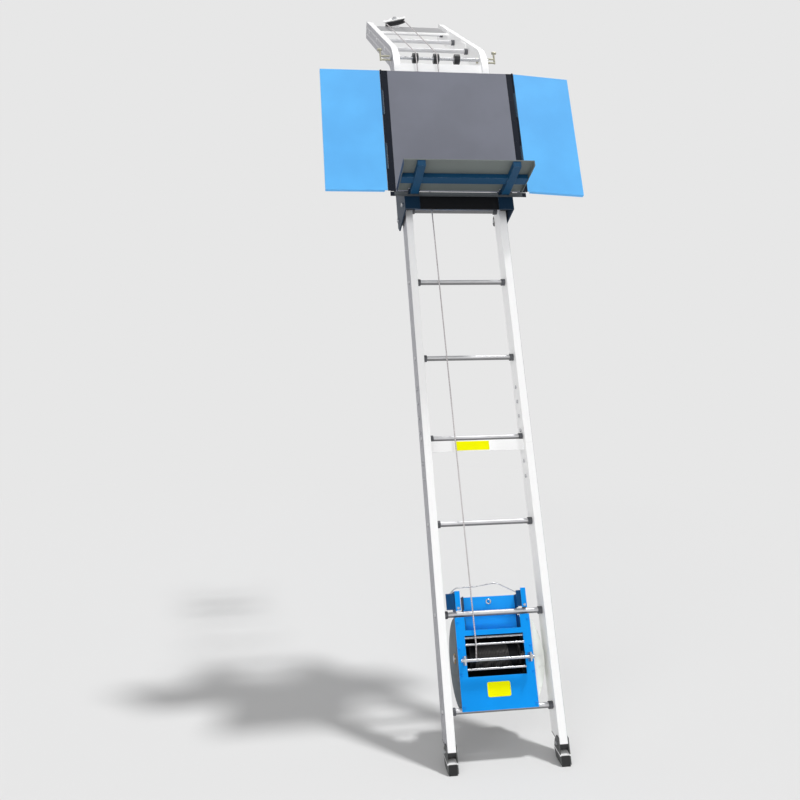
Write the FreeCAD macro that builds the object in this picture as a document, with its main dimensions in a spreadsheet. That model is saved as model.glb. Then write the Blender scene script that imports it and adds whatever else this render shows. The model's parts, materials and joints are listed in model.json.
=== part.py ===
import FreeCAD, Part
import math
import os
import sys
import Sketcher

# Material hoist: a leaning rail ladder with a bent head, a rope winch at its foot
# and a load carriage with two folding wings and a folding shelf.
# Row frame: X to the right, Y backwards, Z up, origin on the floor midway between the feet,
# in the plane of the stiles' front faces. Millimetres and degrees.
# Ladder frame: x across, y behind the stiles' front faces, z along the stiles from the floor line.
# Head frame: the same directions on the head, with its z counted from the knee's corner.

DRIVING = {
    # whole ladder
    "lean_angle": 62.4,
    "stile_pitch": 400,
    "stile_width": 30,
    "stile_depth": 85,
    "stile_wall": 3,
    "groove_depth": 1.2,
    "groove_width": 8,
    "stile_cut_height": 66,
    "first_rung": 207,
    "rung_pitch": 333.3,
    "rung_radius": 10,
    "rung_wall": 2,
    "rung_setback": 37,
    "collar_radius": 14,
    "collar_length": 16,
    # section joints
    "section_joint": 1172,
    "head_joint": 2700,
    "sleeve_gap": 0.3,
    "sleeve_below": 150,
    "sleeve_above": 270,
    "bolt_first": 62,
    "bolt_step": 60,
    "bolt_radius": 4,
    "bolt_head": 4,
    "bolt_head_radius": 7.5,
    "fit_gap": 0.06,
    "plate_setback": 22,
    "plate_thickness": 4,
    "joint_plate_bottom": 1150,
    "joint_plate_height": 44,
    "knee_plate_bottom": 2885,
    "knee_plate_height": 58,
    "knee_plate_depth": 36,
    "label_thickness": 0.8,
    "joint_label_width": 134,
    "joint_label_height": 36,
    "joint_label_offset": -21,
    # knee and head
    "knee_corner": 3000,
    "knee_turn": 43.3,
    "knee_radius": 250,
    "head_length": 1090,
    "cap_thickness": 4,
    "head_first_rung": 280,
    "sheave_plate_start": 835,
    "sheave_plate_length": 240,
    "sheave_plate_drop": 18,
    "cross_bar_start": 768,
    "cross_bar_length": 60,
    "gusset_start": 330,
    "gusset_length": 105,
    "gusset_drop": 8,
    "gusset_height": 44,
    # rope, knee rollers and head sheave
    "rope_radius": 2.5,
    "rope_setback": 14,
    "rope_gap": 0.3,
    "knee_roller_radius": 22.2,
    "knee_roller_width": 24,
    "knee_roller_first": -109,
    "knee_roller_pitch": 95,
    "roller_shaft_radius": 7,
    "roller_shaft_half": 226,
    "thrust_collar": 4,
    "sheave_along": 1070,
    "sheave_above_head": 6,
    "sheave_roll": 13,
    "sheave_radius": 55,
    "sheave_width": 22,
    "sheave_groove": 8,
    "sheave_pin_radius": 8,
    "rope_lead": 62,
    "fork_plate": 4,
    "fork_half_width": 24,
    "fork_guard_half": 62,
    "fork_back": 62,
    "fork_front": 34,
    "pedestal_half_width": 20,
    "pin_setback": 62,
    "pin_low": 2990,
    "pin_pitch": 20,
    "pin_radius": 4,
    "pin_reach": 262,
    "pin_inner": 176,
    "pin_handle": 34,
    # feet
    "foot_pivot_back": 56,
    "foot_pivot_height": 60,
    "foot_pin_radius": 4,
    "tongue_radius": 24,
    "shoe_gap": 0.3,
    "shoe_wall": 3.7,
    "shoe_web_top": 35,
    "shoe_web": 4,
    "shoe_clear": 5,
    "pad_length": 62,
    "tread_step": 15,
    "tread_width": 3,
    "tread_depth": 3,
    # winch, with heights from the rung that it hangs on
    "hook_rung": 1,
    "winch_offset": -8,
    "winch_half_width": 139,
    "winch_front": 20,
    "winch_sheet": 4,
    "winch_drop": 337,
    "winch_top_drop": 11.5,
    "cheek_thickness": 6,
    "cheek_back": 188,
    "cheek_belly_drop": 150,
    "cheek_fullness": 0.71,
    "cover_sheet": 2,
    "cover_bottom_drop": 316,
    "cover_front": 76,
    "window_half_width": 108,
    "window_bottom_drop": 221,
    "window_top_drop": 78,
    "notch_half_width": 103,
    "notch_drop": 59,
    "recess_back": 60,
    "recess_sheet": 3,
    "recess_rise": 62,
    "recess_slot": 13,
    "hook_gap": 0.3,
    "hook_front": 14,
    "hook_flange": 19,
    "hook_rise": 82,
    "hook_back": 75,
    "hook_root_drop": 50,
    "hook_bolt_radius": 5,
    "tab_width": 33,
    "tab_height": 58,
    "tab_rise": 16,
    "bail_radius": 2,
    "bail_back": 30,
    "bail_seat": 8,
    "bail_left": -127,
    "bail_left_rise": 21,
    "bail_dip": -51,
    "bail_dip_rise": 22,
    "bail_crest": 13,
    "bail_crest_rise": 31,
    "bail_right": 34,
    "bail_right_rise": 30,
    "drum_back": 82,
    "drum_drop": 152,
    "drum_core": 42,
    "drum_wall": 4,
    "drum_flange": 56,
    "drum_half": 88,
    "drum_flange_width": 6,
    "drum_shaft_radius": 12,
    "bush_wall": 6,
    "winding_start": -69,
    "winding_pitch": 5.7,
    "winding_turns": 21,
    "winding_gap": 0.15,
    "clamp_length": 14,
    "clamp_width": 12,
    "clamp_height": 10,
    "clamp_gap": 0.1,
    "top_rod_radius": 4.5,
    "top_rod_back": 30,
    "top_rod_drop": 85,
    "guide_rod_radius": 4,
    "guide_rod_drop": 110,
    "guide_rod_pitch": 86,
    "tie_rod_radius": 5.5,
    "tie_rod_front": 8,
    "tie_rod_drop": 165,
    "tie_rod_half": 133,
    "tie_lug_across": 117,
    "tie_lug_height": 32,
    "winch_label_width": 84,
    "winch_label_height": 51,
    "winch_label_drop": 293,
    "motor_back": 82,
    "motor_drop": 272,
    "motor_radius": 37,
    "motor_wall": 4,
    "motor_left": 110,
    "rotor_radius": 29,
    "rotor_half": 78,
    "motor_shaft_radius": 8,
    "gear_case_bulge": 41,
    "gear_case_drop": 315,
    "gear_case_height": 298,
    "gear_case_front": 28,
    "gear_case_back": 150,
    "gear_case_wall": 3,
    "gear_module": 3,
    "pinion_teeth": 12,
    "idler_teeth": 27,
    "drum_gear_teeth": 31,
    "tooth_share": 0.38,
    "tooth_tip": 0.8,
    "tooth_root": 1.15,
    "gear_gap": 1.2,
    "low_gear_width": 5.5,
    "high_gear_width": 8,
    "idler_shaft_radius": 6,
    "eye_rise": 43,
    "eye_radius": 8,
    "eye_wire": 2.5,
    # carriage
    "panel_front": 82,
    "panel_sheet": 3,
    "panel_half_width": 261,
    "panel_bottom": 2229,
    "panel_height": 589,
    "strip_width": 23.5,
    "hinge_across": 289,
    "hinge_pin_radius": 2.5,
    "hinge_barrel": 4,
    "hinge_gap": 0.3,
    "knuckle_end": 100,
    "knuckle_middle": 142,
    "wing_width": 255,
    "wing_lift": 4,
    "wing_rest_tilt": 6,
    "wing_return": 12,
    "side_plate_across": 222,
    "side_plate_thickness": 6,
    "side_plate_bottom": 2150,
    "side_plate_top": 2800,
    "side_plate_back": 132,
    "side_plate_corner": 24,
    "front_flange_inner": 165,
    "roller_radius": 22,
    "roller_width": 22,
    "roller_gap": 0.3,
    "roller_low": 2200,
    "roller_high": 2760,
    "axle_radius": 6,
    "axle_head": 6,
    "axle_collar": 3,
    "crossbar_depth": 22,
    "crossbar_height": 30,
    "crossbar_wall": 2.5,
    "crossbar_low": 2280,
    "crossbar_high": 2740,
    "safety_plate_bottom": 2152,
    "safety_plate_top": 2222,
    "anchor_half": 3,
    "anchor_height": 26,
    # shelf
    "lip_depth": 3,
    "lip_height": 19,
    "shelf_axis_front": 98,
    "shelf_axis_height": 2222,
    "shelf_reach": 310,
    "shelf_rear": 10,
    "shelf_sheet": 4,
    "shelf_arm_across": 190,
    "shelf_arm_width": 32,
    "shelf_frame_gap": 1,
    "shelf_arm_depth": 26,
    "shelf_bar_start": 172,
    "shelf_bar_width": 45,
    "shelf_edge": 20,
    "shelf_pin_radius": 3,
    "ear_radius": 6.4,
    "ear_width": 5,
    "ear_gap": 1,
}

doc = FreeCAD.newDocument("material_hoist")
sheet = doc.addObject("Spreadsheet::Sheet", "Sizes")
for row, (alias, number) in enumerate(DRIVING.items(), 1):
    sheet.set(f"A{row}", alias)
    sheet.set(f"B{row}", str(number))
    sheet.setAlias(f"B{row}", alias)
doc.recompute()


class Size:
    """A length or an angle that knows both its value and its formula in the sheet's cells."""

    def __init__(self, value, text):
        self.value = value
        self.text = text

    def __add__(self, other):
        return Size(self.value + number_of(other), f"({self.text} + {text_of(other)})")

    def __radd__(self, other):
        return Size(number_of(other) + self.value, f"({text_of(other)} + {self.text})")

    def __sub__(self, other):
        return Size(self.value - number_of(other), f"({self.text} - {text_of(other)})")

    def __rsub__(self, other):
        return Size(number_of(other) - self.value, f"({text_of(other)} - {self.text})")

    def __mul__(self, other):
        return Size(self.value * number_of(other), f"({self.text} * {text_of(other)})")

    def __rmul__(self, other):
        return self * other

    def __truediv__(self, other):
        return Size(self.value / number_of(other), f"({self.text} / {text_of(other)})")

    def __neg__(self):
        return self * -1


def number_of(size):
    return size.value if isinstance(size, Size) else float(size)


def text_of(size):
    return size.text if isinstance(size, Size) else f"({size})"


def sine(angle):
    return Size(math.sin(math.radians(angle.value)), f"sin({angle.text})")


def cosine(angle):
    return Size(math.cos(math.radians(angle.value)), f"cos({angle.text})")


def tangent(angle):
    return Size(math.tan(math.radians(angle.value)), f"tan({angle.text})")


class Dimensions:
    """Every driving dimension of the sheet as an attribute."""

    def __init__(self):
        for name in DRIVING:
            setattr(self, name, Size(float(sheet.get(name)), f"Sizes.{name}"))


d = Dimensions()


def bind(thing, **paths):
    """Ties properties of an object to formulas; a double underscore stands for a dot."""
    for path, size in paths.items():
        thing.setExpression(path.replace("__", "."), text_of(size))


def vector(x, y, z):
    return FreeCAD.Vector(number_of(x), number_of(y), number_of(z))


# Solids, each on spans given as (low, high)


def box(x, y, z):
    thing = doc.addObject("Part::Box", "Block")
    bind(thing, Length=x[1] - x[0], Width=y[1] - y[0], Height=z[1] - z[0])
    bind(thing, Placement__Base__x=x[0], Placement__Base__y=y[0], Placement__Base__z=z[0])
    return thing


def along(thing, axis, centre, low):
    """Lays a solid that was made along Z along another axis, from low upwards."""
    turns = {"x": ((0, 1, 0), 90), "y": ((1, 0, 0), -90), "z": ((0, 0, 1), 0)}
    where = {"x": (low, *centre), "y": (centre[0], low, centre[1]), "z": (*centre, low)}
    direction, angle = turns[axis]
    thing.Placement = FreeCAD.Placement(
        vector(*where[axis]), FreeCAD.Rotation(vector(*direction), angle)
    )
    for name, size in zip("xyz", where[axis]):
        thing.setExpression(f"Placement.Base.{name}", text_of(size))
    return thing


def rod(axis, centre, radius, span):
    thing = doc.addObject("Part::Cylinder", "Rod")
    bind(thing, Radius=radius, Height=span[1] - span[0])
    return along(thing, axis, centre, span[0])


def hexagon(axis, centre, radius, span):
    thing = doc.addObject("Part::Prism", "Hexagon")
    thing.Polygon = 6
    bind(thing, Circumradius=radius, Height=span[1] - span[0])
    return along(thing, axis, centre, span[0])


def cut(base, *tools):
    for tool in tools:
        thing = doc.addObject("Part::Cut", "Cut")
        thing.Base, thing.Tool = base, tool
        base = thing
    return base


def fuse(*things):
    thing = doc.addObject("Part::MultiFuse", "Fusion")
    thing.Shapes = list(things)
    thing.Refine = True
    return thing


def draw(sketch, points):
    """Draws a closed outline; a point of four numbers is reached by an arc through its first two."""
    count = len(points)
    ends = [point[-2:] for point in points]
    first = sketch.GeometryCount
    for n, point in enumerate(points):
        start, stop = vector(*ends[n - 1], 0), vector(*ends[n], 0)
        if len(point) == 4:
            sketch.addGeometry(Part.Arc(start, vector(*point[:2], 0), stop), False)
        else:
            sketch.addGeometry(Part.LineSegment(start, stop), False)
    backward = []
    for n, point in enumerate(points):
        # an arc is stored anticlockwise, so its own ends may be the other way round
        edge = sketch.Geometry[first + n]
        backward.append(edge.StartPoint.distanceToPoint(vector(*ends[n - 1], 0)) > 1e-6)
    for n in range(count):
        after = (n + 1) % count
        end_here = 1 if backward[n] else 2
        start_there = 2 if backward[after] else 1
        here, there = first + n, first + after
        sketch.addConstraint(Sketcher.Constraint("Coincident", here, end_here, there, start_there))
    for n, point in enumerate(points):
        place(sketch, first + n, 1 if backward[n] else 2, ends[n])
        if len(point) == 4:
            sketch.addGeometry(Part.Point(vector(*point[:2], 0)), True)
            through = sketch.GeometryCount - 1
            place(sketch, through, 1, point[:2])
            sketch.addConstraint(Sketcher.Constraint("PointOnObject", through, 1, first + n))


def place(sketch, edge, end, where):
    """Fixes a sketch point by its two distances from the origin."""
    for kind, size in zip(("DistanceX", "DistanceY"), where):
        rule = Sketcher.Constraint(kind, -1, 1, edge, end, number_of(size))
        number = sketch.addConstraint(rule)
        sketch.setExpression(f"Constraints[{number}]", text_of(size))


def sketch_on(body, role, offset, *outlines):
    sketch = body.newObject("Sketcher::SketchObject", "Outline")
    base = [item for item in body.Origin.OriginFeatures if item.Role == role][0]
    sketch.AttachmentSupport = [(base, "")]
    sketch.MapMode = "FlatFace"
    bind(sketch, AttachmentOffset__Base__z=offset)
    for points in outlines:
        draw(sketch, points)
    return sketch


def prism(plane, span, *outlines):
    """A pad of a closed outline, with any further outlines as its holes."""
    body = doc.addObject("PartDesign::Body", "Body")
    # the XZ plane looks along -Y, so its pad starts at the far end of the span
    offset = -span[1] if plane == "XZ" else span[0]
    sketch = sketch_on(body, plane + "_Plane", offset, *outlines)
    pad = body.newObject("PartDesign::Pad", "Pad")
    pad.Profile = sketch
    bind(pad, Length=span[1] - span[0])
    return body


def feature(shape):
    thing = doc.addObject("Part::Feature", "Shape")
    thing.Shape = shape
    return thing


# Frames


HEAD_LEAN = d.lean_angle - 90 - d.knee_turn
HEAD_BACK = d.knee_corner * cosine(d.lean_angle)
HEAD_UP = d.knee_corner * sine(d.lean_angle)


def group(things, turn=None, base=(0, 0, 0), axis=(1, 0, 0)):
    """Keeps solids together, turned about an axis and then moved."""
    thing = doc.addObject("Part::Compound", "Group")
    thing.Links = list(things)
    if turn is not None:
        start = number_of(turn) or 1
        thing.Placement = FreeCAD.Placement(vector(*base), FreeCAD.Rotation(vector(*axis), start))
        bind(thing, Placement__Rotation__Angle=turn)
    for name, size in zip("xyz", base):
        if isinstance(size, Size):
            thing.setExpression(f"Placement.Base.{name}", size.text)
    return thing


def leaned(*things):
    return group(things, d.lean_angle - 90)


def on_head(*things):
    return group(things, HEAD_LEAN, (0, HEAD_BACK, HEAD_UP))


NODES = []


def node(label, thing):
    thing.Label = label
    NODES.append(thing)


SIDES = {"left": -1, "right": 1}
NOTHING = Size(0, "0")


def across(side, inner, outer):
    """A span between two distances from the middle, on one side of the ladder."""
    return (inner, outer) if side > 0 else (-outer, -inner)


# Stiles and their joints

STILE_INNER = (d.stile_pitch - d.stile_width) / 2
STILE_OUTER = (d.stile_pitch + d.stile_width) / 2
KNEE_TANGENT = d.knee_radius * tangent(d.knee_turn / 2)
KNEE_START = d.knee_corner - KNEE_TANGENT


def stile_outlines(side):
    """The hollow section: a box with two shallow grooves along its outer face."""
    outer, inner = STILE_OUTER * side, STILE_INNER * side
    groove = outer - d.groove_depth * side
    points = [(inner, 0), (outer, 0)]
    for share in (0.3, 0.7):
        middle = d.stile_depth * share
        low, high = middle - d.groove_width / 2, middle + d.groove_width / 2
        points += [(outer, low), (groove, low), (groove, high), (outer, high)]
    points += [(outer, d.stile_depth), (inner, d.stile_depth)]
    wall_out, wall_in = outer - d.stile_wall * side, inner + d.stile_wall * side
    low, high = d.stile_wall, d.stile_depth - d.stile_wall
    hollow = [(wall_in, low), (wall_out, low), (wall_out, high), (wall_in, high)]
    return points, hollow


def stile(side, low, high):
    return prism("XY", (low, high), *stile_outlines(side))


def bolt_places(joint, above, below):
    middle = d.stile_depth / 2
    steps = [d.bolt_first + d.bolt_step * n for n in range(above)]
    rows = [joint + step for step in steps]
    rows += [joint - d.bolt_first - d.bolt_step * n for n in range(below)]
    return [(middle, height) for height in rows]


SECTION_BOLTS = bolt_places(d.section_joint, 4, 2)
HEAD_BOLTS = bolt_places(d.head_joint, 2, 2)


def bolt_holes(side, places):
    span = across(side, STILE_INNER - 1, STILE_OUTER + 1)
    return [rod("x", where, d.bolt_radius + d.fit_gap, span) for where in places]


def joint_bolt(side, where):
    """A hexagon bolt through a stile, its head outside and its nut inside."""
    shank = rod("x", where, d.bolt_radius, across(side, STILE_INNER - d.bolt_head, STILE_OUTER + 1))
    head = hexagon(
        "x", where, d.bolt_head_radius, across(side, STILE_OUTER, STILE_OUTER + d.bolt_head)
    )
    nut = hexagon(
        "x", where, d.bolt_head_radius, across(side, STILE_INNER - d.bolt_head, STILE_INNER)
    )
    return fuse(shank, head, nut)


def sleeve(side, low, high, places):
    """The box that slides inside two stiles and joins them."""
    edge = d.stile_wall + d.sleeve_gap
    outer = across(side, STILE_INNER + edge, STILE_OUTER - edge)
    inner = across(side, STILE_INNER + edge + d.stile_wall, STILE_OUTER - edge - d.stile_wall)
    deep = (edge, d.stile_depth - edge)
    deep_inside = (edge + d.stile_wall, d.stile_depth - edge - d.stile_wall)
    wall = box(outer, deep, (low, high))
    hollow = box(inner, deep_inside, (low - 1, high + 1))
    return cut(wall, hollow, *bolt_holes(side, places))


FAR = 400
for name, side in SIDES.items():
    low_holes = bolt_holes(side, SECTION_BOLTS[4:])
    lower = leaned(cut(stile(side, NOTHING, d.section_joint), *low_holes))
    under = box((-FAR, d.stile_pitch), (-FAR, d.stile_pitch), (-FAR, d.stile_cut_height))
    node(f"lower_stile_{name}", cut(lower, under))
    holes = bolt_holes(side, SECTION_BOLTS[:4] + HEAD_BOLTS[2:])
    node(f"upper_stile_{name}", leaned(cut(stile(side, d.section_joint, d.head_joint), *holes)))

sleeves = []
bolts = []
for side in SIDES.values():
    low, high = d.section_joint - d.sleeve_below, d.section_joint + d.sleeve_above
    sleeves.append(sleeve(side, low, high, SECTION_BOLTS))
    low, high = d.head_joint - d.sleeve_below, d.head_joint + d.sleeve_below
    sleeves.append(sleeve(side, low, high, HEAD_BOLTS))
    bolts += [joint_bolt(side, where) for where in SECTION_BOLTS + HEAD_BOLTS]
node("stile_sleeves", leaned(*sleeves))

# The knee's shaft and locking pins, which pass through the head stiles

ROLLER_DEPTH = d.rope_setback + d.rope_radius + d.rope_gap + d.knee_roller_radius
ROLLER_HEIGHT = d.knee_corner - ROLLER_DEPTH * tangent(d.knee_turn / 2)
ROLLER_CENTRE = (ROLLER_DEPTH, ROLLER_HEIGHT)
PIN_CENTRES = [(d.pin_setback, d.pin_low), (d.pin_setback, d.pin_low + d.pin_pitch)]


def knee(side):
    """The bent part of a head stile, turned about a line behind it."""
    bend = doc.addObject("Part::Revolution", "Knee")
    body = doc.addObject("PartDesign::Body", "Body")
    bend.Source = sketch_on(body, "XY_Plane", KNEE_START, *stile_outlines(side))
    bend.Axis = vector(-1, 0, 0)
    bend.Solid = True
    bind(bend, Angle=d.knee_turn, Base__y=d.knee_radius, Base__z=KNEE_START)
    return bend


def head_stile(side):
    straight = stile(side, d.head_joint, KNEE_START)
    top = stile(side, KNEE_TANGENT, d.head_length)
    turned = group([top], -d.knee_turn, (0, 0, d.knee_corner))
    whole = fuse(straight, knee(side), turned)
    through = across(side, STILE_INNER - 1, STILE_OUTER + 1)
    holes = bolt_holes(side, HEAD_BOLTS[:2])
    holes.append(rod("x", ROLLER_CENTRE, d.roller_shaft_radius + d.fit_gap, through))
    holes += [rod("x", where, d.pin_radius + d.fit_gap, through) for where in PIN_CENTRES]
    return cut(whole, *holes)


for name, side in SIDES.items():
    node(f"head_stile_{name}", leaned(head_stile(side)))

# Rungs, with a collar at each end

RUNGS = 8
HEAD_RUNGS = 3


def rung(height):
    span = (-STILE_INNER, STILE_INNER)
    centre = (d.rung_setback, height)
    hollow = rod("x", centre, d.rung_radius - d.rung_wall, (span[0] - 1, span[1] + 1))
    return cut(rod("x", centre, d.rung_radius, span), hollow)


def rung_collar(side, height):
    span = across(side, STILE_INNER - d.collar_length, STILE_INNER)
    hole = across(side, STILE_INNER - d.collar_length - 1, STILE_INNER + 1)
    centre = (d.rung_setback, height)
    return cut(
        rod("x", centre, d.collar_radius, span), rod("x", centre, d.rung_radius + d.fit_gap, hole)
    )


ladder_rungs = [d.first_rung + d.rung_pitch * n for n in range(RUNGS)]
head_rungs = [d.head_first_rung + d.rung_pitch * n for n in range(HEAD_RUNGS)]
on_ladder = leaned(*[rung(height) for height in ladder_rungs])
node("rungs", group([on_ladder, on_head(*[rung(height) for height in head_rungs])]))
ladder_collars = [rung_collar(side, height) for height in ladder_rungs for side in SIDES.values()]
head_collars = [rung_collar(side, height) for height in head_rungs for side in SIDES.values()]
node("rung_collars", group([leaned(*ladder_collars), on_head(*head_collars)]))

# Plates between the stiles

BETWEEN = (-STILE_INNER, STILE_INNER)
PLATE = (d.plate_setback, d.plate_setback + d.plate_thickness)
joint_plate = box(
    BETWEEN, PLATE, (d.joint_plate_bottom, d.joint_plate_bottom + d.joint_plate_height)
)
knee_top = d.knee_plate_bottom + d.knee_plate_height
knee_web = box(BETWEEN, PLATE, (d.knee_plate_bottom, knee_top))
knee_flange = box(
    BETWEEN,
    (d.plate_setback, d.plate_setback + d.knee_plate_depth),
    (knee_top - d.plate_thickness, knee_top),
)
cross_bar = box(
    BETWEEN,
    (d.sheave_plate_drop - 2, d.sheave_plate_drop + d.plate_thickness),
    (d.cross_bar_start, d.cross_bar_start + d.cross_bar_length),
)
node(
    "cross_plates", group([leaned(joint_plate, fuse(knee_web, knee_flange)), on_head(cross_bar)])
)
sheave_plate = box(
    BETWEEN,
    (d.sheave_plate_drop, d.sheave_plate_drop + d.plate_thickness),
    (d.sheave_plate_start, d.sheave_plate_start + d.sheave_plate_length),
)
node("sheave_plate", on_head(sheave_plate))


def gusset(side):
    low, high = d.gusset_start, d.gusset_start + d.gusset_length
    top, bottom = d.gusset_drop, d.gusset_drop + d.gusset_height
    span = across(side, STILE_INNER - d.plate_thickness, STILE_INNER)
    return prism("YZ", span, [(top, low), (bottom, low), (top, high)])


node("knee_gussets", on_head(*[gusset(side) for side in SIDES.values()]))

# Black plugs in the stiles' ends: caps at the head, tongues for the feet at the bottom


def head_cap(side):
    span = (d.head_length, d.head_length + d.cap_thickness)
    return box(across(side, STILE_INNER, STILE_OUTER), (NOTHING, d.stile_depth), span)


FOOT_PIVOT = (d.foot_pivot_back, d.foot_pivot_height)


def foot_plug(side):
    """A cap across the stile's end, with a round tongue that the foot turns on."""
    span = across(side, STILE_INNER, STILE_OUTER)
    front = d.stile_cut_height * cosine(d.lean_angle) / sine(d.lean_angle)
    depth = d.stile_depth / sine(d.lean_angle)
    low = d.stile_cut_height - d.cap_thickness
    cap = box(span, (front, front + depth), (low, d.stile_cut_height))
    tongue = rod("x", FOOT_PIVOT, d.tongue_radius, span)
    above = box(
        across(side, STILE_INNER - 1, STILE_OUTER + 1),
        (NOTHING, d.stile_pitch / 2),
        (d.stile_cut_height, d.stile_cut_height + d.tongue_radius * 2),
    )
    hole = rod(
        "x",
        FOOT_PIVOT,
        d.foot_pin_radius + d.fit_gap,
        across(side, STILE_INNER - 1, STILE_OUTER + 1),
    )
    return cut(fuse(cap, cut(tongue, above)), hole)


plugs = [foot_plug(side) for side in SIDES.values()]
node("stile_end_plugs", group([on_head(*[head_cap(side) for side in SIDES.values()]), *plugs]))

# Feet


def shoe(side):
    """Two side plates joined by a web, with the pivot's holes."""
    middle = d.stile_pitch / 2
    inner = d.stile_width / 2 + d.shoe_gap
    outer = inner + d.shoe_wall
    slope = cosine(d.lean_angle) / sine(d.lean_angle)
    top = d.foot_pivot_height + d.tongue_radius
    bottom = d.shoe_clear
    back = d.foot_pivot_back + d.tongue_radius + 4
    outline = [
        (bottom * slope, bottom),
        (d.pad_length, bottom),
        (back, bottom + d.tongue_radius),
        (back, d.foot_pivot_height),
        (d.foot_pivot_back + d.tongue_radius / 2, top),
        (top * slope, top),
    ]
    plates = []
    for low, high in ((middle - outer, middle - inner), (middle + inner, middle + outer)):
        plates.append(prism("YZ", across(side, low, high), outline))
    web = box(
        across(side, middle - inner, middle + inner),
        (d.shoe_web_top * slope, d.foot_pivot_back + d.tongue_radius / 2),
        (d.shoe_web_top - d.shoe_web, d.shoe_web_top),
    )
    hole = rod(
        "x",
        FOOT_PIVOT,
        d.foot_pin_radius + d.fit_gap,
        across(side, middle - outer - 1, middle + outer + 1),
    )
    return cut(fuse(*plates, web), hole)


def rubber_pad(side):
    """A block under the web, with treads across its sole."""
    middle = d.stile_pitch / 2
    half = d.stile_width / 2 + d.shoe_gap - 0.1
    slope = cosine(d.lean_angle) / sine(d.lean_angle)
    top = d.shoe_web_top - d.shoe_web
    outline = [(0.5, 0), (d.pad_length, 0), (d.pad_length + 4, top), (top * slope, top)]
    block = prism("YZ", across(side, middle - half, middle + half), outline)
    grooves = []
    for n in range(1, 4):
        low = d.tread_step * n
        tread_span = across(side, middle - half - 1, middle + half + 1)
        grooves.append(box(tread_span, (low, low + d.tread_width), (-1, d.tread_depth)))
    return cut(block, *grooves)


def foot_pin(side):
    middle = d.stile_pitch / 2
    reach = d.stile_width / 2 + d.shoe_gap + d.shoe_wall
    shank_span = across(side, middle - reach - 2, middle + reach + 2)
    shank = rod("x", FOOT_PIVOT, d.foot_pin_radius, shank_span)
    head = rod(
        "x",
        FOOT_PIVOT,
        d.bolt_head_radius,
        across(side, middle + reach + d.shoe_gap, middle + reach + d.bolt_head),
    )
    nut = hexagon(
        "x",
        FOOT_PIVOT,
        d.bolt_head_radius,
        across(side, middle - reach - d.bolt_head, middle - reach - d.shoe_gap),
    )
    return fuse(shank, head, nut)


for name, side in SIDES.items():
    node(f"foot_shoe_{name}", shoe(side))
    node(f"foot_pad_{name}", rubber_pad(side))
foot_pins = [foot_pin(side) for side in SIDES.values()]

# Knee shaft, rollers and locking pins

ROLLERS = {"left": 0, "middle": 1, "right": 2}


def roller_place(n):
    return d.knee_roller_first + d.knee_roller_pitch * n


def shaft_collars(n):
    edge = d.knee_roller_width / 2 + d.rope_gap
    where = roller_place(n)
    spans = [
        (where - edge - d.thrust_collar, where - edge),
        (where + edge, where + edge + d.thrust_collar),
    ]
    return [rod("x", ROLLER_CENTRE, d.roller_shaft_radius + d.thrust_collar, span) for span in spans]


shaft = [rod("x", ROLLER_CENTRE, d.roller_shaft_radius, (-d.roller_shaft_half, d.roller_shaft_half))]
for n in ROLLERS.values():
    shaft += shaft_collars(n)
for side in SIDES.values():
    nut = across(side, STILE_OUTER, STILE_OUTER + d.bolt_head + 2)
    shaft.append(hexagon("x", ROLLER_CENTRE, d.roller_shaft_radius * 1.7, nut))
node("roller_shaft", leaned(fuse(*shaft)))

for name, n in ROLLERS.items():
    half = d.knee_roller_width / 2
    where = roller_place(n)
    tyre = rod("x", ROLLER_CENTRE, d.knee_roller_radius, (where - half, where + half))
    bore = rod(
        "x",
        ROLLER_CENTRE,
        d.roller_shaft_radius + d.fit_gap,
        (where - half - 1, where + half + 1),
    )
    node(f"knee_roller_{name}", leaned(cut(tyre, bore)))


def locking_pin(side):
    """A fork of two legs through the stile, joined outside by a bar with a raised handle."""
    legs = [
        rod("x", where, d.pin_radius, across(side, d.pin_inner, d.pin_reach)) for where in PIN_CENTRES
    ]
    reach = across(side, d.pin_reach, d.pin_reach)[0]
    low, high = d.pin_low - d.pin_radius, d.pin_low + d.pin_pitch + d.pin_handle
    bar = rod("z", (reach, d.pin_setback), d.pin_radius, (low, high))
    knob_span = across(side, d.pin_reach - 2 * d.pin_radius, d.pin_reach + 3 * d.pin_radius)
    knob = rod("x", (d.pin_setback, high), d.pin_radius * 1.5, knob_span)
    return fuse(*legs, bar, knob)


for name, side in SIDES.items():
    node(f"knee_pin_{name}", leaned(locking_pin(side)))

# Head sheave in its fork

SHEAVE_ACROSS = d.knee_roller_first + d.knee_roller_pitch / 2
SHEAVE_PITCH = d.knee_roller_pitch / 2
SHEAVE_BASE = (SHEAVE_ACROSS, -d.sheave_above_head, d.sheave_along)


def rolled(*things):
    """Turns what is made about the sheave's own middle into its rolled place on the head."""
    return group(things, -d.sheave_roll, SHEAVE_BASE, (0, 0, 1))


HALF_SHEAVE = d.sheave_width / 2
disc = rod("y", (0, 0), d.sheave_radius, (-HALF_SHEAVE, HALF_SHEAVE))
groove_span = (-d.sheave_groove / 2, d.sheave_groove / 2)
groove_floor = SHEAVE_PITCH - d.rope_radius - d.rope_gap
ring = cut(
    rod("y", (0, 0), d.sheave_radius + 1, groove_span), rod("y", (0, 0), groove_floor, groove_span)
)
eye = rod("y", (0, 0), d.sheave_pin_radius + d.fit_gap, (-d.sheave_width, d.sheave_width))
node("head_sheave", on_head(rolled(cut(disc, ring, eye))))

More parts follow.
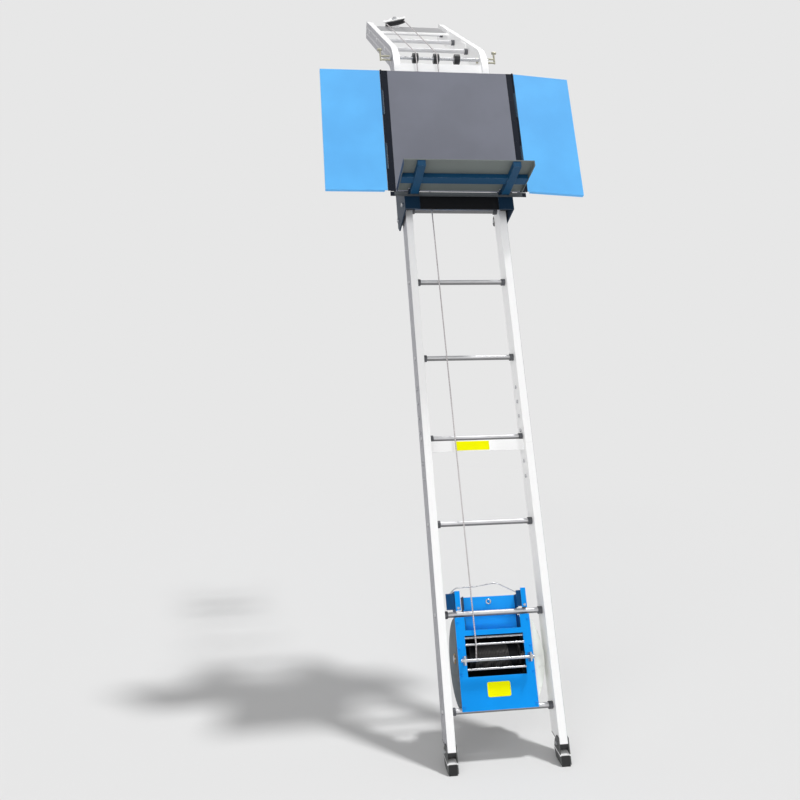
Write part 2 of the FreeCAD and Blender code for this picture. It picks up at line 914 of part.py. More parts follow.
FORK_INNER = HALF_SHEAVE + d.rope_gap
FORK_OUTER = FORK_INNER + d.fork_plate
fork_across = (-d.fork_half_width, d.fork_half_width)
guard_across = (-d.fork_guard_half, d.fork_guard_half)
fork_along = (-d.fork_front, d.fork_back)
fork_parts = [
    box(guard_across, (-FORK_OUTER, -FORK_INNER), (-d.fork_front, d.fork_front)),
    box(fork_across, (-FORK_OUTER, -FORK_INNER), fork_along),
    box(fork_across, (FORK_INNER, FORK_OUTER), fork_along),
    box(fork_across, (-FORK_OUTER, FORK_OUTER), (d.fork_back - d.fork_plate, d.fork_back)),
]
pin_hole = rod("y", (0, 0), d.sheave_pin_radius + d.fit_gap, (-FORK_OUTER - 1, FORK_OUTER + 1))
fork = rolled(cut(fuse(*fork_parts), pin_hole))
pedestal_low = d.sheave_along - d.fork_front
pedestal = box(
    (SHEAVE_ACROSS - d.pedestal_half_width, SHEAVE_ACROSS + d.pedestal_half_width),
    (-d.sheave_above_head, d.sheave_plate_drop),
    (pedestal_low, pedestal_low + d.fork_plate),
)
sheave_space = rolled(box(guard_across, (-FORK_OUTER, FORK_INNER), fork_along))
pedestal = cut(pedestal, sheave_space)
node("sheave_fork", on_head(fuse(fork, pedestal)))
pin_shank = rod("y", (0, 0), d.sheave_pin_radius, (-FORK_OUTER - 12, FORK_OUTER))
pin_head = hexagon(
    "y", (0, 0), d.sheave_pin_radius * 1.6, (-FORK_OUTER - 6, -FORK_OUTER)
)
node("pivot_pins", group([*foot_pins, on_head(rolled(fuse(pin_shank, pin_head)))]))

# Rope, as runs and tangent arcs


def pair(first, second):
    """A point of the ladder's side view as a vector: distance behind the front, then height."""
    return vector(0, first, second)


def turned(direction, angle):
    return FreeCAD.Rotation(FreeCAD.Vector(1, 0, 0), angle).multVec(direction)


def along_x(point, x):
    return FreeCAD.Vector(number_of(x), point.y, point.z)


def corner_between(centre, radius, first, second):
    """Where two lines meet that both touch a circle, given their outward normals."""
    return centre + (first + second) * (radius / (1 + first.dot(second)))


def rounded(points, radii):
    """Edges through points, with an arc of its own radius at each inner point."""
    edges = []
    start = points[0]
    for before, corner, after, radius in zip(points, points[1:], points[2:], radii):
        back = (before - corner).normalize()
        ahead = (after - corner).normalize()
        half = back.getAngle(ahead) / 2
        reach = radius / math.tan(half)
        middle = (back + ahead).normalize()
        centre = corner + middle * (radius / math.sin(half))
        arc_start, arc_end = corner + back * reach, corner + ahead * reach
        if (arc_start - start).Length > 1e-4:
            edges.append(Part.LineSegment(start, arc_start).toShape())
        edges.append(Part.Arc(arc_start, centre - middle * radius, arc_end).toShape())
        start = arc_end
    edges.append(Part.LineSegment(start, points[-1]).toShape())
    return edges


def tube(name, edges, radius):
    """A round tube along edges, with its volume compared with section times length."""
    wire = Part.Wire(edges)
    first = edges[0]
    tangent_here = first.tangentAt(first.FirstParameter)
    ring = Part.Wire(Part.makeCircle(radius, first.valueAt(first.FirstParameter), tangent_here))
    solid = Part.Solid(wire.makePipeShell([ring], True, False))
    expected = math.pi * radius**2 * wire.Length
    share = solid.Volume / expected
    print(f"{name}: length {wire.Length:.1f} mm, volume {share:.4f} of section x length")
    return solid


DRUM_AXIS = (d.drum_back, -d.drum_drop)
WINDING_RADIUS = d.drum_core + d.winding_gap + d.rope_radius
GUIDE_BACK = d.rope_setback + d.rope_radius + d.rope_gap + d.guide_rod_radius
GUIDE_ARC = GUIDE_BACK - d.rope_setback
HOOK_HEIGHT = d.first_rung + d.rung_pitch * d.hook_rung

drum_centre = pair(DRUM_AXIS[0], HOOK_HEIGHT + DRUM_AXIS[1])
guide_centre = pair(GUIDE_BACK, HOOK_HEIGHT - d.guide_rod_drop)
FORWARDS = FreeCAD.Vector(0, -1, 0)
winding_radius = number_of(WINDING_RADIUS)
guide_arc = number_of(GUIDE_ARC)
between_axes = guide_centre - drum_centre
lead_angle = math.degrees(math.acos((winding_radius - guide_arc) / between_axes.Length))
leaving = turned(between_axes.normalize(), lead_angle)
winding_x = number_of(d.winch_offset + d.winding_start)
winding_slope = d.winding_pitch.value / (2 * math.pi * winding_radius)
rope_end = 2 * d.rope_radius.value


def on_winding(turn):
    """Place and direction on the drum's winding, after so many turns from where the rope leaves."""
    outwards = turned(leaving, 360 * turn)
    place_here = drum_centre + outwards * winding_radius
    place_here.x = winding_x + d.winding_pitch.value * turn
    direction = turned(outwards, 90)
    direction.x = winding_slope
    return place_here, direction.normalize()


def arc_from(start, direction, end):
    """The arc that leaves a point in a direction and reaches another point."""
    chord = end - start
    middle = start + chord * 0.5
    reach = chord.Length / (2 * direction.dot(chord.normalize()))
    apex = start + direction * reach
    half = direction.getAngle(end - start)
    height = (end - start).Length / 2 * math.tan(half / 2)
    return Part.Arc(start, middle + (apex - middle).normalize() * height, end).toShape()


def biarc(start, start_direction, end, end_direction):
    """Two arcs that join two points and keep the direction at both."""
    across_points = end - start
    total = start_direction + end_direction
    spread = 2 * (1 - start_direction.dot(end_direction))
    lead = across_points.dot(total)
    root = math.sqrt(lead**2 + spread * across_points.dot(across_points))
    reach = (root - lead) / spread
    joint = (start + end + (start_direction - end_direction) * reach) * 0.5
    first = arc_from(start, start_direction, joint)
    second = arc_from(end, end_direction * -1, joint)
    return [first, Part.Edge(second.reversed())]


def winding_edges():
    steps = int(d.winding_turns.value * 2)
    place_here, direction = on_winding(0)
    edges = [Part.LineSegment(place_here - direction * rope_end, place_here).toShape()]
    for n in range(steps):
        place_there, direction_there = on_winding((n + 1) / 2)
        edges += biarc(place_here, direction, place_there, direction_there)
        place_here, direction = place_there, direction_there
    edges.append(Part.LineSegment(place_here, place_here + direction * rope_end).toShape())
    return edges


def least_gap(turns, samples=36):
    """The least gap between neighbouring turns, measured on points."""
    points = [on_winding(n / samples)[0] for n in range(int(turns * samples) + 1)]
    spans = []
    for n, point in enumerate(points[: -samples // 2]):
        later = points[n + samples // 2:]
        spans.append(min(point.distanceToPoint(other) for other in later))
    return min(spans) - 2 * d.rope_radius.value


def head_point(x, height, along_head):
    """A point of the head in the ladder frame."""
    turn = math.radians(d.knee_turn.value)
    back = number_of(along_head) * math.sin(turn) - number_of(height) * math.cos(turn)
    up = number_of(along_head) * math.cos(turn) + number_of(height) * math.sin(turn)
    return FreeCAD.Vector(number_of(x), back, d.knee_corner.value + up)


def hoist_route():
    """From the drum up to the left roller, round the sheave and back over the middle roller."""
    drum_place, direction = on_winding(0)
    start = drum_place - direction * rope_end
    guide_corner = corner_between(guide_centre, guide_arc, leaving, FORWARDS)
    run = guide_corner - along_x(drum_place, 0)
    guide_corner.x = winding_x - winding_slope * run.Length
    roller_centre = pair(*ROLLER_CENTRE)
    roller_arc = number_of(ROLLER_DEPTH - d.rope_setback)
    roll = math.radians(d.sheave_roll.value)
    pitch = number_of(SHEAVE_PITCH)
    approach = d.sheave_along - d.rope_lead
    far = d.sheave_along + SHEAVE_PITCH
    legs = []
    for side in (-1, 1):
        x = number_of(SHEAVE_ACROSS) + side * pitch * math.cos(roll)
        height = d.sheave_above_head.value + side * pitch * math.sin(roll)
        near = head_point(x, height, approach)
        to_near = along_x(near, 0) - roller_centre
        lift = math.degrees(math.acos(roller_arc / to_near.Length))
        outwards = turned(to_near.normalize(), lift)
        corner = corner_between(roller_centre, roller_arc, outwards, FORWARDS)
        corner.x = number_of(roller_place(ROLLERS["left"] if side < 0 else ROLLERS["middle"]))
        legs.append((corner, near, head_point(x, height, far)))
    end = pair(d.rope_setback, ROLLER_HEIGHT) - FreeCAD.Vector(0, 0, rope_end)
    end.x = number_of(roller_place(ROLLERS["middle"]))
    easy = 10 * rope_end
    points = [start, guide_corner, *legs[0], *reversed(legs[1]), end]
    radii = [guide_arc, roller_arc, easy, pitch, pitch, easy, roller_arc]
    print("hoist rope radii", [round(radius, 1) for radius in radii])
    return points, radii


points, radii = hoist_route()
node("hoist_rope", leaned(feature(tube("hoist_rope", rounded(points, radii), d.rope_radius.value))))
winding = tube("drum_rope", winding_edges(), d.rope_radius.value)
node("drum_rope", leaned(feature(winding)))
print(f"drum_rope: least gap between turns {least_gap(d.winding_turns.value):.2f} mm")

FALL_TOP = ROLLER_HEIGHT - 2 * d.rope_radius
FALL_BOTTOM = d.crossbar_high + d.anchor_height / 2
FALL_ACROSS = roller_place(ROLLERS["middle"])
fall = rod("z", (FALL_ACROSS, d.rope_setback), d.rope_radius, (FALL_BOTTOM, FALL_TOP))
node("rope_fall", leaned(fall))

# Winch, from its middle and from the rung that it hangs on


def in_winch(*things):
    return leaned(group(things, base=(d.winch_offset, 0, HOOK_HEIGHT)))


MOTOR_AXIS = (d.motor_back, -d.motor_drop)
PLATE_BACK = d.winch_front + d.winch_sheet
CHEEK_OUTER = d.winch_half_width
CHEEK_INNER = CHEEK_OUTER - d.cheek_thickness
plate_outline = [
    (-CHEEK_OUTER, -d.winch_drop),
    (CHEEK_OUTER, -d.winch_drop),
    (CHEEK_OUTER, -d.winch_top_drop),
    (d.notch_half_width, -d.winch_top_drop),
    (d.notch_half_width, -d.notch_drop),
    (-d.notch_half_width, -d.notch_drop),
    (-d.notch_half_width, -d.winch_top_drop),
    (-CHEEK_OUTER, -d.winch_top_drop),
]
window = [
    (-d.window_half_width, -d.window_bottom_drop),
    (d.window_half_width, -d.window_bottom_drop),
    (d.window_half_width, -d.window_top_drop),
    (-d.window_half_width, -d.window_top_drop),
]
node("winch_front_plate", in_winch(prism("XZ", (d.winch_front, PLATE_BACK), plate_outline, window)))


PITCH = {
    "pinion": d.gear_module * d.pinion_teeth / 2,
    "idler": d.gear_module * d.idler_teeth / 2,
    "drum": d.gear_module * d.drum_gear_teeth / 2,
}


def idler_place():
    """The idler's axis, as far from each other axis as their pitch circles need."""
    motor, drum_at = pair(*MOTOR_AXIS), pair(*DRUM_AXIS)
    first = number_of(PITCH["pinion"] + PITCH["idler"])
    second = number_of(PITCH["pinion"] + PITCH["drum"])
    between = drum_at - motor
    reach = (first**2 - second**2 + between.Length**2) / (2 * between.Length)
    aside = math.sqrt(first**2 - reach**2)
    upwards = between.normalize()
    return motor + upwards * reach + turned(upwards, -90) * aside


def cheek_outline(shrink):
    """The D of the winch's side, drawn in by so much along its back."""
    belly, back = -d.cheek_belly_drop, d.cheek_back - shrink
    bottom, top = -d.winch_drop + shrink, -d.winch_top_drop - shrink
    back_through = PLATE_BACK + (back - PLATE_BACK) * d.cheek_fullness
    low_through = (back_through, belly + (bottom - belly) * d.cheek_fullness)
    high_through = (back_through, belly + (top - belly) * d.cheek_fullness)
    return [(PLATE_BACK, bottom), (*low_through, back, belly), (*high_through, PLATE_BACK, top)]


def cheek(side):
    """A D-shaped side plate, with room for the drum's bush, the motor's shaft and the low rung."""
    body = prism("YZ", across(side, CHEEK_INNER, CHEEK_OUTER), cheek_outline(NOTHING))
    through = across(side, CHEEK_INNER - 1, CHEEK_OUTER + 1)
    holes = [
        rod("x", DRUM_AXIS, d.drum_shaft_radius + d.fit_gap + d.bush_wall, through),
        rod("x", (d.rung_setback, -d.rung_pitch), d.rung_radius + 1, through),
    ]
    if side > 0:
        idler_at = idler_place()
        idler_hole = d.idler_shaft_radius + d.fit_gap
        holes.append(rod("x", MOTOR_AXIS, d.motor_shaft_radius + d.rope_gap, through))
        holes.append(rod("x", (idler_at.y, idler_at.z), idler_hole, through))
    return cut(body, *holes)


node("winch_cheeks", in_winch(*[cheek(side) for side in SIDES.values()]))

COVER_SPAN = (-CHEEK_INNER, CHEEK_INNER)
cover_outer = prism("YZ", COVER_SPAN, cheek_outline(NOTHING))
cover_inner = prism("YZ", (-CHEEK_OUTER, CHEEK_OUTER), cheek_outline(d.cover_sheet))
cover_ends = [
    box((-CHEEK_OUTER, CHEEK_OUTER), (PLATE_BACK - 1, d.cheek_back), (-d.winch_drop - 1, -d.cover_bottom_drop)),
    box((-CHEEK_OUTER, CHEEK_OUTER), (PLATE_BACK - 1, d.cover_front), (-d.cheek_belly_drop, NOTHING)),
]
node("winch_back_cover", in_winch(cut(cover_outer, cover_inner, *cover_ends)))

RECESS_BACK = d.recess_back + d.recess_sheet
RECESS = (-d.notch_half_width + d.rope_gap, d.notch_half_width - d.rope_gap)
recess_wall = box(RECESS, (d.recess_back, RECESS_BACK), (-d.notch_drop - d.recess_sheet, d.recess_rise))
recess_ledge = box(
    RECESS, (PLATE_BACK, RECESS_BACK), (-d.notch_drop - d.recess_sheet, -d.notch_drop)
)


def recess_side(side):
    """A wall beside the recess, with a slot for the rung."""
    low, slot = -d.notch_drop - d.recess_sheet, d.recess_slot
    slot_back = d.rung_setback + slot
    outline = [
        (PLATE_BACK, low),
        (RECESS_BACK, low),
        (RECESS_BACK, d.recess_rise),
        (PLATE_BACK, d.recess_rise),
        (PLATE_BACK, slot),
        (slot_back, slot),
        (slot_back, -slot),
        (PLATE_BACK, -slot),
    ]
    outer = d.notch_half_width - d.rope_gap
    return prism("YZ", across(side, outer - d.recess_sheet, outer), outline)


recess_sides = [recess_side(side) for side in SIDES.values()]
node("winch_recess_panel", in_winch(fuse(recess_wall, recess_ledge, *recess_sides)))


def hook(side):
    """A web that drops over the rung, with a front flange and a tab for the carrying bail."""
    outer = CHEEK_INNER
    inner = outer - d.winch_sheet
    low = d.rung_radius + d.hook_gap
    clear = d.rung_setback + d.rung_radius + 2
    outline = [
        (d.hook_front, low),
        (clear, low),
        (clear, -d.hook_root_drop),
        (d.hook_back, -d.hook_root_drop),
        (d.hook_back, d.hook_rise),
        (d.hook_front, d.hook_rise),
    ]
    web = prism("YZ", across(side, inner, outer), outline)
    flange_back = d.hook_front + d.winch_sheet
    flange = box(
        across(side, outer - d.hook_flange, outer),
        (d.hook_front, flange_back),
        (low + 2, d.hook_rise),
    )
    reach = (outer, outer + d.tab_width)
    if side > 0:
        reach = (outer - d.hook_flange - d.tab_width / 2, outer - d.hook_flange + 6)
    tab = box(
        across(side, *reach),
        (flange_back, flange_back + d.winch_sheet),
        (d.tab_rise, d.tab_rise + d.tab_height),
    )
    return fuse(web, flange, tab)


node("winch_hooks", in_winch(*[hook(side) for side in SIDES.values()]))

bail_ends = d.hook_front + 2 * d.winch_sheet
bail_top = d.tab_rise + d.tab_height
right_end = CHEEK_INNER - d.hook_flange - d.tab_width / 4
left_end = -CHEEK_INNER - d.tab_width * 0.7
BAIL = [
    (left_end, bail_ends, bail_top - d.bail_seat),
    (left_end, d.bail_back, bail_top - d.bail_seat),
    (d.bail_left, d.bail_back, bail_top + d.bail_left_rise),
    (d.bail_dip, d.bail_back, bail_top + d.bail_dip_rise),
    (d.bail_crest, d.bail_back, bail_top + d.bail_crest_rise),
    (d.bail_right, d.bail_back, bail_top + d.bail_right_rise),
    (right_end, d.bail_back, bail_top - d.bail_seat),
    (right_end, bail_ends, bail_top - d.bail_seat),
]
bail_points = [vector(*point) for point in BAIL]
bail_radii = [5, 30, 60, 40, 40, 5]
bail = tube("carry_bail", rounded(bail_points, bail_radii), d.bail_radius.value)
node("carry_bail", in_winch(feature(bail)))

# Drum, its shaft and bushes

DRUM_END = d.drum_half + d.drum_flange_width
core = rod("x", DRUM_AXIS, d.drum_core, (-DRUM_END, DRUM_END))
hollow = rod("x", DRUM_AXIS, d.drum_core - d.drum_wall, (-d.drum_half, d.drum_half))
flanges = [
    rod("x", DRUM_AXIS, d.drum_flange, (-DRUM_END, -d.drum_half)),
    rod("x", DRUM_AXIS, d.drum_flange, (d.drum_half, DRUM_END)),
]
bore = rod("x", DRUM_AXIS, d.drum_shaft_radius, (-DRUM_END - 1, DRUM_END + 1))


def rope_clamp():
    """The block on the core that holds the rope's last turn."""
    place_here, direction = on_winding(d.winding_turns.value)
    outwards = (place_here - along_x(drum_centre, place_here.x)).normalize()
    side = outwards.cross(direction).normalize()
    if side.x < 0:
        side = side * -1
    upright = direction.cross(side)
    if upright.dot(outwards) < 0:
        upright = upright * -1
    length, width, height = (size.value for size in (d.clamp_length, d.clamp_width, d.clamp_height))
    inner = d.rope_radius.value + d.clamp_gap.value
    start = place_here + direction * rope_end - side * inner - upright * (height / 2 - 0.5)
    corners = [start, start + side * width, start + side * width + upright * height]
    corners += [start + upright * height, start]
    block = Part.Face(Part.makePolygon(corners)).extrude(direction * length)
    block.translate(FreeCAD.Vector(-d.winch_offset.value, 0, -number_of(HOOK_HEIGHT)))
    return feature(block)


node("drum", in_winch(cut(fuse(cut(core, hollow), *flanges, rope_clamp()), bore)))

# Gear train in the case: motor pinion, idler of two gears, gear on the drum's shaft

LOW_GEARS = (CHEEK_OUTER + d.gear_gap, CHEEK_OUTER + d.gear_gap + d.low_gear_width)
HIGH_GEARS = (LOW_GEARS[1] + d.gear_gap, LOW_GEARS[1] + d.gear_gap + d.high_gear_width)
SHAFT_END = HIGH_GEARS[1] + d.gear_gap


def gear_outline(teeth, first_tooth):
    """Straight-sided teeth about the middle, the first at an angle in radians."""
    module = d.gear_module.value
    pitch_radius = module * teeth / 2
    tip = pitch_radius + d.tooth_tip.value * module
    root = pitch_radius - d.tooth_root.value * module
    step = 2 * math.pi / teeth
    half_tip, half_root = step * d.tooth_share.value / 4, step * (d.tooth_share.value + 0.2) / 2
    corners = []
    for n in range(teeth):
        middle = first_tooth + step * n
        for radius, angle in ((root, -half_root), (tip, -half_tip), (tip, half_tip), (root, half_root)):
            corners.append((radius * math.cos(middle + angle), radius * math.sin(middle + angle)))
    return corners


def gear(centre, teeth, first_tooth, span):
    corners = [
        FreeCAD.Vector(number_of(span[0]), centre.y + y, centre.z + z)
        for y, z in gear_outline(teeth, first_tooth)
    ]
    face = Part.Face(Part.makePolygon([*corners, corners[0]]))
    width = number_of(span[1]) - number_of(span[0])
    return feature(face.extrude(FreeCAD.Vector(width, 0, 0)))


def mesh(first, second, second_teeth):
    """The first tooth's angle of each gear, so that a tooth meets a gap between the axes."""
    along_axes = second - first
    angle = math.atan2(along_axes.z, along_axes.y)
    return angle, angle + math.pi + math.pi / second_teeth


idler_axis = idler_place()
pinion_count, idler_count, drum_count = (
    int(size.value) for size in (d.pinion_teeth, d.idler_teeth, d.drum_gear_teeth)
)
pinion_angle, idler_angle = mesh(pair(*MOTOR_AXIS), idler_axis, idler_count)
small_angle, drum_angle = mesh(idler_axis, pair(*DRUM_AXIS), drum_count)

drum_gear = gear(pair(*DRUM_AXIS), drum_count, drum_angle, HIGH_GEARS)
shaft_bar = rod("x", DRUM_AXIS, d.drum_shaft_radius, (-CHEEK_OUTER - 4, SHAFT_END))
node("drum_shaft", in_winch(fuse(shaft_bar, drum_gear)))

IDLER_AXIS = (idler_axis.y, idler_axis.z)
idler_parts = [
    gear(idler_axis, idler_count, idler_angle, LOW_GEARS),
    gear(idler_axis, pinion_count, small_angle, HIGH_GEARS),
    rod("x", IDLER_AXIS, d.idler_shaft_radius, (CHEEK_INNER, HIGH_GEARS[1])),
    rod("x", IDLER_AXIS, d.idler_shaft_radius * 1.5, (LOW_GEARS[0], HIGH_GEARS[1])),
]
node("idler_gear", in_winch(fuse(*idler_parts)))


def bush(side):
    span = across(side, CHEEK_INNER - 2, CHEEK_OUTER + 1)
    through = across(side, CHEEK_INNER - 3, CHEEK_OUTER + 2)
    inner = d.drum_shaft_radius + d.fit_gap
    return cut(rod("x", DRUM_AXIS, inner + d.bush_wall, span), rod("x", DRUM_AXIS, inner, through))


node("drum_bushes", in_winch(*[bush(side) for side in SIDES.values()]))

# Motor and gear case

casing = rod("x", MOTOR_AXIS, d.motor_radius, (-d.motor_left, CHEEK_INNER))
inside = rod(
    "x",
    MOTOR_AXIS,
    d.motor_radius - d.motor_wall,
    (-d.motor_left + d.motor_wall, CHEEK_INNER - d.motor_wall),
)
nose = rod(
    "x", MOTOR_AXIS, d.motor_shaft_radius + d.fit_gap, (CHEEK_INNER - d.motor_wall - 1, CHEEK_INNER + 1)
)
node("motor_casing", in_winch(cut(casing, inside, nose)))
rotor = rod("x", MOTOR_AXIS, d.rotor_radius, (-d.rotor_half, d.rotor_half))
rotor_shaft = rod("x", MOTOR_AXIS, d.motor_shaft_radius, (-d.rotor_half, LOW_GEARS[1]))
pinion = gear(pair(*MOTOR_AXIS), pinion_count, pinion_angle, LOW_GEARS)
node("motor_rotor", in_winch(fuse(rotor, rotor_shaft, pinion)))


def gear_case_shape(shrink, span):
    """A segment of a circle against the right cheek, seen from the front."""
    low = -d.gear_case_drop + shrink
    high = low + d.gear_case_height - 2 * shrink
    middle = -d.gear_case_drop + d.gear_case_height / 2
    outline = [
        (CHEEK_OUTER, low),
        (CHEEK_OUTER + d.gear_case_bulge - shrink, middle, CHEEK_OUTER, high),
    ]
    return prism("XZ", span, outline)


case = gear_case_shape(NOTHING, (d.gear_case_front, d.gear_case_back))
room = gear_case_shape(
    d.gear_case_wall, (d.gear_case_front + d.gear_case_wall, d.gear_case_back - d.gear_case_wall)
)
node("gear_case", in_winch(cut(case, room)))

# Rods, bolts and label on the winch

WINDOW = (-d.window_half_width, d.window_half_width)
guides = [
    rod("x", (d.top_rod_back, -d.top_rod_drop), d.top_rod_radius, (-CHEEK_INNER, CHEEK_INNER)),
    rod("x", (GUIDE_BACK, -d.guide_rod_drop), d.guide_rod_radius, WINDOW),
    rod("x", (GUIDE_BACK, -d.guide_rod_drop - d.guide_rod_pitch), d.guide_rod_radius, WINDOW),
]
TIE_AXIS = (-d.tie_rod_front, -d.tie_rod_drop)
tie_rod = [rod("x", TIE_AXIS, d.tie_rod_radius, (-d.tie_rod_half, d.tie_rod_half))]
for side in SIDES.values():
    lug_span = across(side, d.tie_lug_across, d.tie_lug_across + d.cheek_thickness)
    half = d.tie_lug_height / 2
    tie_rod.append(
        box(lug_span, (-2 * d.tie_rod_front, d.winch_front), (TIE_AXIS[1] - half, TIE_AXIS[1] + half))
    )
    nut_start = d.tie_lug_across + d.cheek_thickness
    nut_span = across(side, nut_start, nut_start + d.bolt_head)
    tie_rod.append(hexagon("x", TIE_AXIS, d.tie_rod_radius * 1.7, nut_span))
node("winch_rods", in_winch(*guides, fuse(*tie_rod)))

ring = doc.addObject("Part::Torus", "Ring")
bind(ring, Radius1=d.eye_radius, Radius2=d.eye_wire)
ring_across = along(ring, "y", (NOTHING, d.eye_rise), d.recess_back - d.eye_wire / 2)
tie_ring = cut(ring_across, box((-20, 20), (d.recess_back, RECESS_BACK + d.eye_wire), (0, 90)))
hook_bolts = []
for side in SIDES.values():
    middle = CHEEK_INNER - d.hook_flange / 2
    where = (middle if side > 0 else -middle, d.rung_radius + d.hook_gap + 2 * d.hook_bolt_radius)
    face = d.hook_front
    hook_bolts.append(hexagon("y", where, d.hook_bolt_radius, (face - d.bolt_head, face)))
node("bolts", group([leaned(*bolts), in_winch(tie_ring, *hook_bolts)]))

winch_label = box(
    (-d.winch_label_width / 2, d.winch_label_width / 2),
    (d.winch_front - d.label_thickness, d.winch_front),
    (-d.winch_label_drop, -d.winch_label_drop + d.winch_label_height),
)
label_middle = d.joint_plate_bottom + d.joint_plate_height / 2
joint_label = box(
    (d.joint_label_offset - d.joint_label_width / 2, d.joint_label_offset + d.joint_label_width / 2),
    (d.plate_setback - d.label_thickness, d.plate_setback),
    (label_middle - d.joint_label_height / 2, label_middle + d.joint_label_height / 2),
)
node("yellow_labels", group([in_winch(winch_label), leaned(joint_label)]))

# Carriage

PANEL_BACK = -d.panel_front + d.panel_sheet
PLATE_OUTER = d.side_plate_across + d.side_plate_thickness
FLANGE_BACK = PANEL_BACK + d.side_plate_thickness
STILE_MIDDLE = d.stile_pitch / 2
FRONT_ROLLER = -(d.roller_radius + d.roller_gap)
REAR_ROLLER = d.stile_depth + d.roller_radius + d.roller_gap
ROLLER_PAIRS = {
    "front_low": (FRONT_ROLLER, d.roller_low),
    "rear_low": (REAR_ROLLER, d.roller_low),
    "front_high": (FRONT_ROLLER, d.roller_high),
    "rear_high": (REAR_ROLLER, d.roller_high),
}
SHELF_AXIS = (-d.shelf_axis_front, d.shelf_axis_height)
ARM_EDGES = (
    d.shelf_arm_across - d.shelf_arm_width / 2,
    d.shelf_arm_across + d.shelf_arm_width / 2,
)


EAR_SPANS = [
    (ARM_EDGES[0] - d.ear_gap - d.ear_width, ARM_EDGES[0] - d.ear_gap),
    (ARM_EDGES[1] + d.ear_gap, ARM_EDGES[1] + d.ear_gap + d.ear_width),
]


def ears(side):
    """Two lugs beside an arm of the shelf, round about its hinge pin."""
    height = (d.shelf_axis_height - d.ear_radius, d.shelf_axis_height + d.ear_radius)
    lugs = []
    for low, high in EAR_SPANS:
        span = across(side, low, high)
        lugs.append(box(span, (-d.shelf_axis_front, PANEL_BACK), height))
        lugs.append(rod("x", SHELF_AXIS, d.ear_radius, span))
    return lugs


def side_plate(side):
    """A plate outside the stile, with a front flange and the shelf's ears."""
    low, high = d.side_plate_bottom, d.side_plate_top
    back, corner = d.side_plate_back, d.side_plate_corner
    outline = [
        (PANEL_BACK, low),
        (back - corner, low),
        (back, low + corner),
        (back, high - corner),
        (back - corner, high),
        (PANEL_BACK, high),
    ]
    plate = prism("YZ", across(side, d.side_plate_across, PLATE_OUTER), outline)
    flange = box(across(side, d.front_flange_inner, PLATE_OUTER), (PANEL_BACK, FLANGE_BACK), (low, high))
    through = across(side, d.side_plate_across - 1, PLATE_OUTER + 1)
    holes = [rod("x", where, d.axle_radius + d.fit_gap, through) for where in ROLLER_PAIRS.values()]
    ear_span = across(side, ARM_EDGES[0] - 3 * d.ear_width, ARM_EDGES[1] + 3 * d.ear_width)
    holes.append(rod("x", SHELF_AXIS, d.shelf_pin_radius + d.fit_gap, ear_span))
    return cut(fuse(plate, flange, *ears(side)), *holes)


node("carriage_side_plates", leaned(*[side_plate(side) for side in SIDES.values()]))


def crossbar(height):
    """A square tube behind the flanges, from side plate to side plate."""
    half = d.crossbar_height / 2
    wall = d.crossbar_wall
    span = (-d.side_plate_across, d.side_plate_across)
    deep = (FLANGE_BACK, FLANGE_BACK + d.crossbar_depth)
    tall = (height - half, height + half)
    inner = box(
        (span[0] - 1, span[1] + 1), (deep[0] + wall, deep[1] - wall), (tall[0] + wall, tall[1] - wall)
    )
    return cut(box(span, deep, tall), inner)


safety_plate = box(
    (-d.front_flange_inner - 10, d.front_flange_inner + 10),
    (FLANGE_BACK, FLANGE_BACK + d.plate_thickness),
    (d.safety_plate_bottom, d.safety_plate_top),
)
node("safety_plate", leaned(safety_plate))
anchor = box(
    (FALL_ACROSS - d.anchor_half, FALL_ACROSS + d.anchor_half),
    (FLANGE_BACK + d.crossbar_depth, d.rope_setback + d.rope_radius + 1.5),
    (FALL_BOTTOM - d.anchor_height, FALL_BOTTOM),
)
crossbars = [crossbar(d.crossbar_low), crossbar(d.crossbar_high)]
node("carriage_crossbars", leaned(*crossbars, anchor))

# Back panel with its hinge strips and lip

PANEL_TOP = d.panel_bottom + d.panel_height
STRIP_OUTER = d.panel_half_width + d.strip_width
PANEL_SPAN = (-d.panel_half_width, d.panel_half_width)
SHEET = (-d.panel_front, PANEL_BACK)
returned = (PANEL_BACK, PANEL_BACK + d.wing_return)
panel_parts = [
    box(PANEL_SPAN, SHEET, (d.panel_bottom, PANEL_TOP)),
    box(PANEL_SPAN, returned, (PANEL_TOP - d.panel_sheet, PANEL_TOP)),
]
for side in SIDES.values():
    edge = across(side, d.panel_half_width - d.panel_sheet, d.panel_half_width)
    panel_parts.append(box(edge, returned, (d.panel_bottom, PANEL_TOP)))
node("back_panel", leaned(fuse(*panel_parts)))

HINGE_Y = -d.panel_front + d.panel_sheet / 2
HINGE_BOTTOM = d.panel_bottom + d.wing_lift
MIDDLE_LOW = (HINGE_BOTTOM + PANEL_TOP - d.knuckle_middle) / 2
STRIP_KNUCKLES = [
    (HINGE_BOTTOM, HINGE_BOTTOM + d.knuckle_end),
    (MIDDLE_LOW, MIDDLE_LOW + d.knuckle_middle),
    (PANEL_TOP - d.knuckle_end, PANEL_TOP),
]
WING_KNUCKLES = [
    (STRIP_KNUCKLES[0][1] + d.hinge_gap, STRIP_KNUCKLES[1][0] - d.hinge_gap),
    (STRIP_KNUCKLES[1][1] + d.hinge_gap, STRIP_KNUCKLES[2][0] - d.hinge_gap),
]


def knuckles(across_at, towards, spans):
    """Barrels about a hinge line, each with a web to the sheet's edge, before their bore."""
    parts = []
    for span in spans:
        parts.append(rod("z", (across_at, HINGE_Y), d.hinge_barrel, span))
        low, high = sorted((across_at, towards), key=number_of)
        parts.append(box((low, high), SHEET, span))
    return parts


def hinge_bore(across_at, gap):
    radius = d.hinge_pin_radius + gap
    return rod("z", (across_at, HINGE_Y), radius, (HINGE_BOTTOM - 1, PANEL_TOP + 1))


